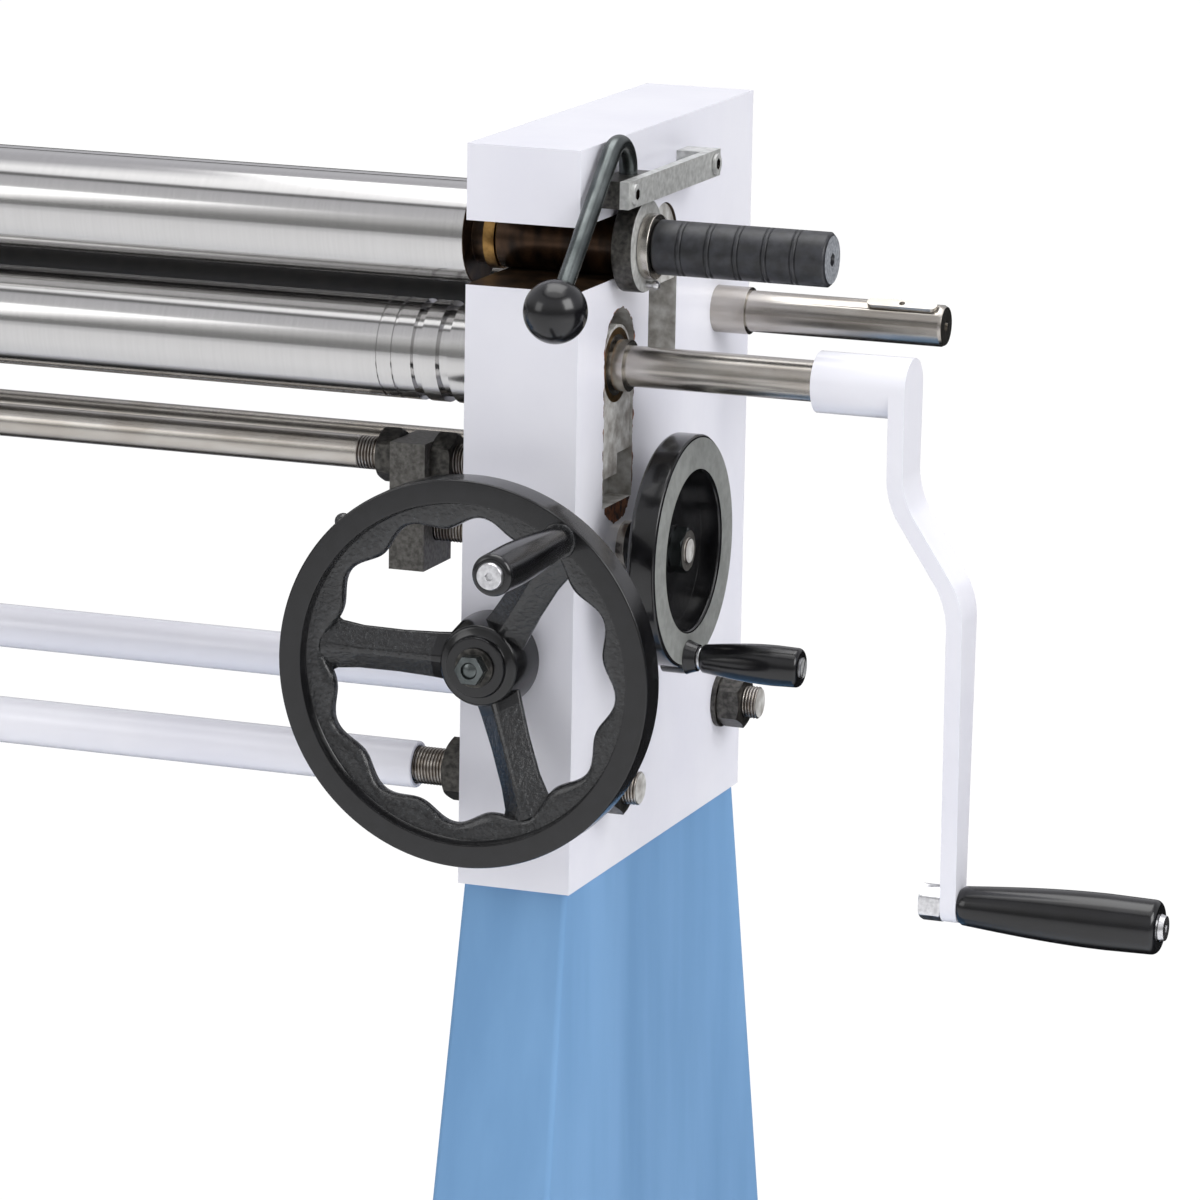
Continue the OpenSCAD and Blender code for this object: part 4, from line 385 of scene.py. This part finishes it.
for node, name, material, slot_name, edge in (
    ("tie_rod_studs", "tie_rod_stud_threads", thread_with_shaded_roots, "machined_steel", 0.0),
    ("tie_rod_nuts", "tie_rod_hexagon_nuts", black_oxide, "black_oxide", nut_edge),
    ("tie_rod_washers", "tie_rod_plain_washers", black_oxide, "black_oxide", nut_edge),
):
    shape = cad_copy(node)
    if edge:
        soften(shape, edge, steps=2, angle=40)
    for face in shape.faces:
        face.material_index = int(material is thread_with_shaded_roots and abs(face.normal.x) > 0.99)
    make_piece(shape, name, "root", [material, bare_iron], [node])


# Ground rolls. Three 75 mm bars of carbon steel, turned and ground between centres: mirror-like
# along their length, with fine rings round them from the wheel. Four wire grooves are turned
# into the lower one near the crank. The rings are drawn coarser than real grinding marks.
rings_per_m = 1400
ground_steel, tree, shader, place = new_material("ground_roll_steel", "#C6C5C4", 0.16, 1.0)
ground_tones = cloudy(tree, place, 1.5, "#C4C3C2", "#C8C7C6", detail=4, stretch=(1, 0.02, 0.02))
tree.links.new(ground_tones, shader.inputs["Base Color"])
rings = add_node(tree, "Mapping", {"Vector": place, "Scale": (1, 0.02, 0.02)}).outputs[0]
rings = add_node(tree, "TexNoise", {"Vector": rings, "Scale": rings_per_m,
                                    "Detail": 4.0}).outputs["Fac"]
gloss = add_node(tree, "MapRange", {0: rings, 1: 0.3, 2: 0.7, 3: 0.135, 4: 0.145}).outputs[0]
tree.links.new(gloss, shader.inputs["Roughness"])

crank_shaft_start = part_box("right_housing")[0].x
neck_reach, roll_edge = 0.012, 0.0008
release_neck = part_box("bronze_ring")[0].x - neck_reach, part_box("release_ring")[1].x

# Journal steel under brown oil, at the upper roll's release end; its darkness inside the housing
# is partly painted shade.
oiled_shaded_journal, tree, shader, place = new_material("journal_steel_oil_and_painted_shade", "#33271E", 0.3, 0.8)
journal_oil_and_shade_tones = cloudy(tree, place, 9, "#1C1511", "#4A3829", detail=6)
tree.links.new(journal_oil_and_shade_tones, shader.inputs["Base Color"])
for node, name, body in (
    ("upper_roll", "upper_roll_bar", "upper_roll"),
    ("lower_roll", "lower_roll_bar", "lower_roll"),
    ("rear_roll", "rear_roll_bar", "rear_roll"),
):
    shape = cad_copy(node)
    soften(shape, roll_edge, steps=2, angle=40)
    for face in shape.faces:
        middle = face.calc_center_median()
        face.material_index = int(middle.x > crank_shaft_start)
        # The upper roll's journal at its release end is dark brown: oil, and painted shade.
        if node == "upper_roll" and release_neck[0] < middle.x < release_neck[1]:
            face.material_index = 2
    make_piece(shape, name, body, [ground_steel, turned_steel, oiled_shaded_journal],
               [node])


# Shafts, rods and bearing blocks. Bright drawn or turned steel under a film of brown oil, some of
# it threaded; the second shaft between the housings and the bush flanges in front of them are
# painted near black as shade. The blocks slide in the slots.
# Painted shade: a nearly black, matt steel for the second shaft between the housings and the bush
# flanges in front of them.
painted_shade_black, tree, shader, place = new_material("painted_shade_black_steel", "#0D0C0B", 0.55, 0.2)
shade_black_tones = cloudy(tree, place, 12, "#090808", "#141210", detail=3)
tree.links.new(shade_black_tones, shader.inputs["Base Color"])

thread_before_nuts = 0.018
split_at = {"wedge_rod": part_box("adjuster_nuts")[0].x - thread_before_nuts,
            "layshaft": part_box("right_housing")[0].x}
housing_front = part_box("right_housing")[0].y
for node, name, material, body in (
    ("stay_rod", "stay_rod_bar", turned_steel, "root"),
    ("wedge_rod", "wedge_rod_bar", turned_steel, "wedge_slide"),
    ("adjusting_screw", "adjusting_screw_bar", thread_with_shaded_roots, "side_wheel"),
    ("layshaft", "second_shaft_bar", turned_steel, "layshaft"),
    ("layshaft_key", "second_shaft_key", turned_steel, "layshaft"),
    ("shaft_collar", "crank_shaft_collar", turned_steel, "lower_roll"),
    ("housing_bushes", "housing_bush_flanges", turned_steel, "root"),
    ("idler_stud", "idler_stud_pin", turned_steel, "root"),
    ("swing_pin", "swing_pin_bar", turned_steel, "root"),
    ("lower_bearings", "lower_bearing_blocks", bare_iron, "lower_carriage"),
    ("rear_bearings", "rear_bearing_blocks", bare_iron, "rear_carriage"),
    ("rear_lift_screws", "rear_lift_screw_threads", thread_with_shaded_roots, "rear_carriage"),
    ("right_wheel_shaft", "right_wheel_shaft_bar", turned_steel, "right_front_wheel"),
    ("left_wheel_shaft", "left_wheel_shaft_bar", turned_steel, "left_front_wheel"),
    ("right_lift_nut", "right_lift_nut_gear", turned_steel, "right_lift_nut"),
    ("left_lift_nut", "left_lift_nut_gear", turned_steel, "left_lift_nut"),
    ("roll_gear", "roll_gear_wheel", turned_steel, "lower_roll"),
    ("idler_gear", "idler_gear_wheel", turned_steel, "idler"),
    ("layshaft_pinion", "second_shaft_pinion", turned_steel, "layshaft"),
):
    shape = cad_copy(node)
    if node in split_at:
        bmesh.ops.bisect_plane(shape, geom=shape.verts[:] + shape.edges[:] + shape.faces[:],
                               plane_co=(split_at[node], 0, 0), plane_no=(1, 0, 0))
    # Index 2 is painted shade, on the second shaft between the housings and on the bush flanges in
    # front of them.
    for face in shape.faces:
        middle = face.calc_center_median()
        face.material_index = (
            1 if node == "wedge_rod" and middle.x > split_at[node]
            else 3 if material is thread_with_shaded_roots and abs(face.normal.x) > 0.99
            else 2 if node == "layshaft" and middle.x < split_at[node]
            or node == "housing_bushes" and middle.y < housing_front else 0)
    make_piece(shape, name, body, [material, thread_with_shaded_roots, painted_shade_black, bare_iron],
               [node])


# Bronze parts. Turned tin bronze under brown oil: the thrust ring at the upper roll's release end
# and the bushes of the lower roll.
oily_bronze, tree, shader, place = new_material("turned_bronze_oiled", "#8A6A3C", 0.33, 1.0)
bronze_tones = cloudy(tree, place, 12, "#5E4526", "#A78450", detail=5)
tree.links.new(bronze_tones, shader.inputs["Base Color"])
rough_skin(tree, place, shader, 0.8, 0.01, stretch=(1, 0.1, 0.1))
for node, name, body in (("bronze_ring", "bronze_thrust_ring", "swing_arm"),
                         ("lower_bushes", "lower_roll_bushes", "lower_carriage")):
    shape = cad_copy(node)
    make_piece(shape, name, body, [oily_bronze], [node])


# Black fittings. Nuts and the latch's block are machined steel with a black oxide finish, the
# adjuster block keeps its mill scale, and the lifting wedges are bare iron. The latch's flat bar
# is worn back to grey steel, and the upper roll's bearing sleeve is brown with old oil. The
# sockets of the screws in the latch's bar are painted dark brown as shade.

# Worn steel: light grey and half matt.
grey_steel, tree, shader, place = new_material("worn_grey_steel", "#BDBEBC", 0.42, 0.35)
grey_tones = cloudy(tree, place, 5, "#A9AAA8", "#C9CAC8", detail=7)
tree.links.new(grey_tones, shader.inputs["Base Color"])
rough_skin(tree, place, shader, 1.5, 0.03, detail=5)

# Brown oil on a turned sleeve: dark and shiny, streaked round it. In the latch's screw sockets the
# same dark brown is painted shade.
oiled_sleeve_and_socket_shade, tree, shader, place = new_material("brown_oiled_steel_and_socket_shade", "#2A1F18", 0.26, 0.7)
oil_and_socket_shade_tones = cloudy(tree, place, 9, "#15100D", "#4A3524", detail=7, stretch=(1, 0.4, 0.4))
tree.links.new(oil_and_socket_shade_tones, shader.inputs["Base Color"])
rough_skin(tree, place, shader, 1.2, 0.02, detail=4)

# Mill scale: dark grey and matt, mottled by the rolling mill.
mill_scale, tree, shader, place = new_material("mottled_mill_scale", "#5C5A56", 0.5, 0.4)
scale_tones = cloudy(tree, place, 3, "#4B4945", "#6C6A66", detail=8)
tree.links.new(scale_tones, shader.inputs["Base Color"])
rough_skin(tree, place, shader, 1.4, 0.08, detail=6)

# Blued steel: dark green-grey, polished by the hand along its length.
blued_steel, tree, shader, place = new_material("blued_steel_polished", "#525757", 0.27, 0.9)
blued_tones = cloudy(tree, place, 10, "#434848", "#666B6B", detail=6, stretch=(1, 0.4, 0.4))
tree.links.new(blued_tones, shader.inputs["Base Color"])
rough_skin(tree, place, shader, 2.0, 0.06, detail=5)

bar_low, bar_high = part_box("latch_bar")
screw_from_end, socket_reach, face_slack, socket_floor = 0.012, 0.0050 * 1.35, 0.0002, 0.0014
screw_at = {"latch_pivot": bar_high.y - screw_from_end, "latch_block": bar_low.y + screw_from_end}
latch_middle = (bar_low + bar_high) / 2
flange_t, bronze_l = 0.017, 0.022
sleeve_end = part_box("release_ring")[1].x - flange_t
bronze_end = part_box("release_ring")[0].x + bronze_l
for node, name, body, edge, material in (
    ("cap_screws", "cap_screw_heads", "root", 0.0, black_oxide),
    ("latch_pivot", "latch_pivot_screw", "root", 0.0005, grey_steel),
    ("latch_bar", "latch_flat_bar", "latch", 0.0006, grey_steel),
    ("latch_block", "latch_lock_block", "latch", 0.0006, black_oxide),
    ("adjuster_block", "adjuster_slide_block", "wedge_slide", 0.0010, mill_scale),
    ("adjuster_nuts", "adjuster_lock_nuts", "wedge_slide", 0.0, black_oxide),
    ("side_wheel_nut", "side_wheel_hexagon_nut", "side_wheel", 0.0005, blued_steel),
    ("lift_wedges", "lifting_wedges", "wedge_slide", 0.0008, bare_iron),
    ("release_ring", "release_ring_sleeve", "swing_arm", 0.0012, black_oxide),
    ("swing_bearing", "swing_bearing_block", "swing_arm", 0.0010, black_oxide),
):
    shape = cad_copy(node)
    if edge:
        soften(shape, edge, steps=2, angle=50)
    for face in shape.faces:
        middle = face.calc_center_median()
        # The screws' sockets are painted dark brown as shade; the rest of their heads is grey
        # steel.
        if node in screw_at and middle.x > bar_high.x - face_slack:
            off_axis = hypot(middle.y - screw_at[node], middle.z - latch_middle.z)
            in_floor = face.normal.x > 0.9 and middle.x < bar_high.x + socket_floor
            in_wall = abs(face.normal.x) < 0.5 and off_axis < socket_reach
            face.material_index = 1 if in_floor or in_wall else 2
        if node == "side_wheel_nut" and face.normal.x > 0.9:
            face.material_index = 4
        if node == "release_ring":
            face.material_index = (3 if middle.x < bronze_end else 1 if middle.x < sleeve_end
                                   else 2 if face.normal.x > 0.9 else 0)
    make_piece(shape, name, body,
               [material, oiled_sleeve_and_socket_shade, grey_steel, oily_bronze, mill_scale], [node])


# Bright small parts. Zinc-plated steel, silvery and faintly cloudy: the crank grip's spindle and
# the grease nipple.
zinc_plate, tree, shader, place = new_material("zinc_plated_steel", "#D6D6D8", 0.28, 1.0)
zinc_tones = cloudy(tree, place, 3, "#C4C4C6", "#E2E2E4", detail=4)
tree.links.new(zinc_tones, shader.inputs["Base Color"])
rough_skin(tree, place, shader, 0.7, 0.01)
for node, name, body in (("crank_spindle", "crank_grip_spindle", "lower_roll"),
                         ("grease_nipple", "grease_nipple_ball", "swing_arm")):
    shape = cad_copy(node)
    make_piece(shape, name, body, [zinc_plate], [node])


# Crank. A flat bar, bent twice round a former and welded to a round hub, sprayed white.
bend_round, crank_edge, bend_width, bend_most = 0.016, 0.0020, 0.02, radians(50)
crank = cad_copy("crank_arm")
soften(crank, bend_round, steps=6, angle=20, where=lambda edge: (
    abs(edge.verts[0].co.y - edge.verts[1].co.y) > bend_width
    and edge.calc_face_angle(0) < bend_most))
soften(crank, crank_edge, steps=3, angle=50)
make_piece(crank, "crank_arm_bar", "lower_roll", [white_enamel], ["crank_arm"])


# Grips. Turned black phenolic handles, polished to a soft gloss: a thin neck, a long swell and a
# round shoulder before the flat end, each with a hole for its spindle. The side handwheel's grip
# turns on a slotted, plated spindle between a black boss and a plated ring.
black_phenolic, tree, shader, place = new_material("black_phenolic_resin", "#0C0C0E", 0.2)
resin_tones = cloudy(tree, place, 25, "#09090A", "#131316", detail=3)
tree.links.new(resin_tones, shader.inputs["Base Color"])
shader.inputs["Coat Weight"].default_value = 0.12
shader.inputs["Coat Roughness"].default_value = 0.14
rough_skin(tree, place, shader, 3.0, 0.004)


def turned(shape, outline, steps=96):
    """Turns a closed outline of (along, radius) points about the x axis into a solid."""
    points = [shape.verts.new((along, radius, 0)) for along, radius in outline]
    sides = [shape.edges.new(pair) for pair in zip(points, points[1:] + points[:1])]
    bmesh.ops.spin(shape, geom=points + sides, axis=(1, 0, 0), cent=(0, 0, 0), angle=tau,
                   steps=steps, use_merge=True)
    bmesh.ops.remove_doubles(shape, verts=shape.verts, dist=1e-6)
    bmesh.ops.recalc_face_normals(shape, faces=shape.faces)


def grip_outline(length, radius, hole):
    """Half outline of a handle, from its neck to its end and back through its hole."""
    neck, shoulder = 0.70 * radius, 0.26 * radius
    swell = [(length * (0.02 + 0.72 * i / 24), neck + (radius - neck) * sin(pi / 2 * i / 24))
             for i in range(25)]
    end = [(length - shoulder + shoulder * sin(pi / 2 * i / 8),
            0.97 * radius - shoulder + shoulder * cos(pi / 2 * i / 8)) for i in range(9)]
    return [(0, hole), (0, 0.86 * neck)] + swell + end + [(length, hole)]


grip_hole, side_hole_share = 0.0064, 0.7
side_neck, side_ring = 0.0080, 0.0030
for node, name, outwards in (
    ("crank_grip", "crank_grip_handle", (1, 0, 0)),
    ("side_grip", "side_grip_handle", (1, 0, 0)),
    ("right_front_grip", "right_front_grip_handle", (0, -1, 0)),
    ("left_front_grip", "left_front_grip_handle", (0, -1, 0)),
):
    low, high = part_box(node)
    outwards = Vector(outwards)
    length = abs((high - low).dot(outwards))
    foot = (low + high) / 2 - outwards * length / 2
    if node == "side_grip":
        side_foot, side_length = foot.copy(), length
        foot, length = foot + outwards * (side_neck + side_ring), length - side_neck - side_ring
    shape = bmesh.new()
    hole = grip_hole * (side_hole_share if node == "side_grip" else 1.0)
    turned(shape, grip_outline(length, (high.z - low.z) / 2, hole))
    shape.transform(Matrix.Translation(foot) @ Vector((1, 0, 0)).rotation_difference(outwards)
                    .to_matrix().to_4x4())
    make_piece(shape, name, node, [black_phenolic], [node])

core, stem_r, head_r, boss_bore = 0.0002, 0.0036, 0.0078, 0.0046
side_boss = [(0.0, boss_bore), (0.0, 0.0128), (side_neck * 0.5, 0.0112), (side_neck, 0.0100),
             (side_neck, boss_bore)]
neck_ring = [(side_neck, core), (side_neck, head_r), (side_neck + side_ring * 0.2, 0.0084),
             (side_neck + side_ring * 0.8, 0.0084), (side_neck + side_ring, head_r),
             (side_neck + side_ring, core)]
stem = [(-0.0040, core), (-0.0040, stem_r), (side_length, stem_r), (side_length, core)]
screw_head = [(side_length - 0.0030, core), (side_length - 0.0030, head_r),
              (side_length + 0.0008, head_r), (side_length + 0.0014, 0.0070),
              (side_length + 0.0014, core)]
slot_half_width, slot_depth, slot_turn = 0.0011, 0.0016, radians(60)
boss_end, boss_inner = side_neck + 0.0001, 0.0042
spindle = bmesh.new()
turned(spindle, screw_head, steps=64)
for sign in (-1, 1):
    bmesh.ops.bisect_plane(spindle, geom=spindle.verts[:] + spindle.edges[:] + spindle.faces[:],
                           plane_co=(0, 0, sign * slot_half_width), plane_no=(0, 0, 1))
slot_faces = [face for face in spindle.faces if face.normal.x > 0.9
              and abs(face.calc_center_median().z) < slot_half_width]
grown = bmesh.ops.extrude_face_region(spindle, geom=slot_faces)["geom"]
bmesh.ops.delete(spindle, geom=slot_faces, context="FACES_ONLY")
bmesh.ops.translate(spindle, vec=(-slot_depth, 0, 0),
                    verts=[item for item in grown if isinstance(item, bmesh.types.BMVert)])
turned(spindle, stem, steps=32)
turned(spindle, neck_ring, steps=64)
turned(spindle, side_boss, steps=64)
for face in spindle.faces:
    middle = face.calc_center_median()
    in_boss = middle.x < boss_end and hypot(middle.y, middle.z) > boss_inner
    on_screw_end = middle.x > side_length and face.normal.x > 0.9
    face.material_index = 1 if in_boss else 2 if on_screw_end else 0
spindle.transform(Matrix.Translation(side_foot) @ Matrix.Rotation(slot_turn, 4, "X"))
make_piece(spindle, "side_grip_spindle", "side_wheel",
           [zinc_plate, black_phenolic, grey_steel], ["side_spindle"])

ball = cad_copy("ball_knob")
make_piece(ball, "latch_ball_knob", "latch", [black_phenolic], ["ball_knob"])


# Rubber grip. Moulded black rubber pushed on the upper roll's end, with pairs of grooves: dull and
# finely grained, its end face rubbed to grey.
black_rubber, tree, shader, place = new_material("moulded_black_rubber", "#242528", 0.42)
rubber_tones = cloudy(tree, place, 8, "#1C1D1F", "#303136", detail=6)
tree.links.new(rubber_tones, shader.inputs["Base Color"])
rough_skin(tree, place, shader, 1.5, 0.05, detail=5)
worn_rubber, tree, shader, place = new_material("worn_rubber_end", "#84878C", 0.5)
worn_tones = cloudy(tree, place, 2.5, "#6E7176", "#96999E", detail=6)
tree.links.new(worn_tones, shader.inputs["Base Color"])
shape = cad_copy("upper_grip")
end_depth = 0.002
rubber_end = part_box("upper_grip")[1].x - end_depth
for face in shape.faces:
    face.material_index = int(face.normal.x > 0.9 and face.calc_center_median().x > rubber_end)
make_piece(shape, "upper_roll_rubber_grip", "upper_roll",
           [black_rubber, worn_rubber], ["upper_grip"])


# Front handwheels. Grey iron castings in glossy black enamel: a turned flat rim with a scalloped
# finger grip cast behind it, three ridged spokes and a hub, with a boss for the grip. The finger
# grip, spokes and boss are left rough; the hub is smooth.
black_enamel, tree, shader, place = new_material("black_enamel_turned", "#0F0F10", 0.2)
enamel_tones = cloudy(tree, place, 10, "#0C0C0D", "#151517", detail=4)
tree.links.new(enamel_tones, shader.inputs["Base Color"])
shader.inputs["Specular IOR Level"].default_value = 0.42
shader.inputs["Coat Weight"].default_value = 0.25
shader.inputs["Coat Roughness"].default_value = 0.08
rough_skin(tree, place, shader, 2.5, 0.02, detail=3)

# The same enamel over the rough casting: glossy but bumpy, so it glitters. The light specks in its
# colour are painted glints over the casting's own mottle.
cast_enamel, tree, shader, place = new_material("black_enamel_rough_cast", "#101011", 0.2)
cast_mottle_and_painted_glints = cloudy(tree, place, 3, "#08080A", "#26282A", detail=6, low=0.42, high=0.66)
tree.links.new(cast_mottle_and_painted_glints, shader.inputs["Base Color"])
shader.inputs["Coat Weight"].default_value = 0.4
shader.inputs["Coat Roughness"].default_value = 0.14
rough_skin(tree, place, shader, 3.2, 1.2, detail=6)

# Outlines are (distance from the housing's front, radius) points.
rim_outline = [(0.0750, 0.1262), (0.0750, 0.1406), (0.0746, 0.1415), (0.0736, 0.1420),
               (0.0510, 0.1420), (0.0492, 0.1412), (0.0482, 0.1395), (0.0480, 0.1370),
               (0.0480, 0.1295), (0.0484, 0.1270), (0.0496, 0.1252), (0.0515, 0.1242),
               (0.0520, 0.1200), (0.0522, 0.1150), (0.0532, 0.1115), (0.0555, 0.1093),
               (0.0590, 0.1085), (0.0625, 0.1093), (0.0648, 0.1115), (0.0658, 0.1150),
               (0.0660, 0.1200), (0.0664, 0.1232), (0.0676, 0.1242), (0.0700, 0.1245),
               (0.0738, 0.1247), (0.0747, 0.1252)]
finger_from, finger_full, finger_height, finger_count = 0.1225, 0.1085, 0.0045, 12
hub_outline = [(0.0080, 0.0120), (0.0080, 0.0325), (0.0088, 0.0345), (0.0110, 0.0352),
               (0.0300, 0.0325), (0.0400, 0.0300), (0.0416, 0.0292), (0.0424, 0.0275),
               (0.0430, 0.0238), (0.0442, 0.0226), (0.0468, 0.0224), (0.0478, 0.0218),
               (0.0480, 0.0205), (0.0480, 0.0120)]
nub_angle, nub_r, nub_size = radians(135), 0.1415, 0.0062
boss_outline = [(0.0525, 0.0066), (0.0525, 0.0131), (0.0758, 0.0131), (0.0770, 0.0126),
                (0.0774, 0.0116), (0.0774, 0.0066)]
# A spoke's section is its distance from the axis, its width and the distance of its back.
spoke_sections = [(0.026, 0.036, 0.0268), (0.036, 0.034, 0.0300), (0.060, 0.0315, 0.0380),
                  (0.088, 0.0320, 0.0470), (0.103, 0.036, 0.0510), (0.114, 0.050, 0.0525)]
spoke_rise, first_spoke, grip_radius = 0.0130, radians(55), 0.128
spoke_count, hub_reach, bolt_head_depth = 3, 0.036, 0.0085
cast_edge, cast_edge_least, bolt_edge = 0.0020, 0.008, 0.0004
stud_outline = [(-0.0035, 0.0002), (-0.0035, 0.0058), (-0.0018, 0.0058), (-0.0010, 0.0046),
                (-0.0004, 0.0026), (-0.0002, 0.0002)]


def add_spoke(shape, angle):
    """A ridged bar from the hub to the rim, one section extruded from the one before."""
    section = bmesh.ops.create_circle(shape, cap_ends=True, segments=6, radius=0.01)["verts"]
    face = section[0].link_faces[0]
    for step, (radius, width, base) in enumerate(spoke_sections):
        if step:
            grown = bmesh.ops.extrude_face_region(shape, geom=[face])["geom"]
            bmesh.ops.delete(shape, geom=[face], context="FACES_ONLY")
            face = next(item for item in grown if isinstance(item, bmesh.types.BMFace))
        for vert, (across, rise) in zip(face.verts, (
                (-0.50, 0.0), (-0.49, 0.30), (-0.06, 1.0), (0.06, 1.0), (0.49, 0.30),
                (0.50, 0.0))):
            sideways = width * across
            vert.co = (base + spoke_rise * rise,
                       radius * cos(angle) - sideways * sin(angle),
                       radius * sin(angle) + sideways * cos(angle))


for side, turn in (("right", 1), ("left", -1)):
    joint = next(j for j in frame["joints"] if j["name"] == f"{side}_front_wheel_turn")
    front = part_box(f"{side}_housing")[0].y
    wheel = bmesh.new()
    turned(wheel, rim_outline, steps=240)
    for vert in wheel.verts:
        radius = hypot(vert.co.y, vert.co.z)
        share = max(0.0, min(1.0, (finger_from - radius) / (finger_from - finger_full)))
        wave = cos(finger_count * (atan2(vert.co.z, vert.co.y) - first_spoke))
        stretch = 1 + finger_height * wave * share / radius
        vert.co.y, vert.co.z = vert.co.y * stretch, vert.co.z * stretch
    turned_faces = len(wheel.faces)
    part = bmesh.new()
    turned(part, boss_outline, steps=48)
    part.transform(Matrix.Translation((0, grip_radius * cos(first_spoke),
                                       grip_radius * sin(first_spoke))))
    turned(part, hub_outline, steps=72)
    for i in range(spoke_count):
        add_spoke(part, first_spoke + tau / spoke_count * i)
    bmesh.ops.create_icosphere(part, subdivisions=3, radius=nub_size, matrix=Matrix.Translation(
        (0.0560, nub_r * cos(nub_angle), nub_r * sin(nub_angle))))
    bmesh.ops.recalc_face_normals(part, faces=part.faces)
    soften(part, cast_edge, steps=3, angle=18, where=lambda edge: (
        len(edge.link_faces) == 2 and edge.calc_length() > cast_edge_least))
    joined = bpy.data.meshes.new("joined")
    part.to_mesh(joined)
    part.free()
    wheel.from_mesh(joined)
    bpy.data.meshes.remove(joined)
    wheel.faces.ensure_lookup_table()
    for face in wheel.faces:
        middle = face.calc_center_median()
        face.material_index = int(hub_reach < hypot(middle.y, middle.z) < finger_from
                                  or face.index >= turned_faces and middle.z > finger_from / 2)
    wheel.transform(Matrix(((0, turn, 0, joint["pos_m"][0]), (-1, 0, 0, front),
                            (0, 0, 1, joint["pos_m"][2]), (0, 0, 0, 1))))
    if turn < 0:
        bmesh.ops.reverse_faces(wheel, faces=wheel.faces)
    make_piece(wheel, f"{side}_front_handwheel", f"{side}_front_wheel",
               [black_enamel, cast_enamel], [f"{side}_front_wheel"], sharp=40)

    bolts = cad_copy(f"{side}_wheel_bolts")
    near_axis = [vert.co.y for vert in bolts.verts if hypot(
        vert.co.x - joint["pos_m"][0], vert.co.z - joint["pos_m"][2]) < grip_radius / 2]
    soften(bolts, bolt_edge, steps=1, angle=50)
    stud = bmesh.new()
    turned(stud, stud_outline, steps=32)
    stud.transform(Matrix(((0, turn, 0, joint["pos_m"][0]), (-1, 0, 0, min(near_axis)),
                           (0, 0, 1, joint["pos_m"][2]), (0, 0, 0, 1))))
    if turn < 0:
        bmesh.ops.reverse_faces(stud, faces=stud.faces)
    joined = bpy.data.meshes.new("joined")
    stud.to_mesh(joined)
    stud.free()
    bolts.from_mesh(joined)
    bpy.data.meshes.remove(joined)
    for face in bolts.faces:
        middle = face.calc_center_median()
        off_axis = hypot(middle.x - joint["pos_m"][0], middle.z - joint["pos_m"][2])
        face.material_index = (1 if off_axis > grip_radius / 2
                               else 2 if middle.y < min(near_axis) + bolt_head_depth else 0)
    make_piece(bolts, f"{side}_wheel_bolt_heads", f"{side}_front_wheel",
               [black_oxide, zinc_plate, blued_steel], [f"{side}_wheel_bolts"])


# Side handwheel, lever and rod guides. The handwheel is a dished iron casting in black enamel,
# with a flat face worn to a grey satin; the lever is a blued round bar, bent cold, and the guides
# are enamelled plates.
satin_face, tree, shader, place = new_material("satin_black_enamel", "#868885", 0.5)
satin_tones = cloudy(tree, place, 8, "#7E807D", "#8E908D", detail=4)
tree.links.new(satin_tones, shader.inputs["Base Color"])
rough_skin(tree, place, shader, 1.5, 0.03, detail=4)
side_face_depth, side_edge = 0.004, 0.0010
side_face_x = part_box("side_wheel")[1].x - side_face_depth
for node, name, body in (("side_wheel", "side_handwheel", "side_wheel"),
                         ("latch_lever", "latch_bent_lever", "latch"),
                         ("rod_guides", "rod_guide_plates", "root")):
    shape = cad_copy(node)
    soften(shape, side_edge, steps=2, angle=50)
    for face in shape.faces:
        on_face = face.normal.x > 0.9 and face.calc_center_median().x > side_face_x
        face.material_index = int(node == "side_wheel" and on_face)
    make_piece(shape, name, body,
               [blued_steel if node == "latch_lever" else black_enamel, satin_face], [node])
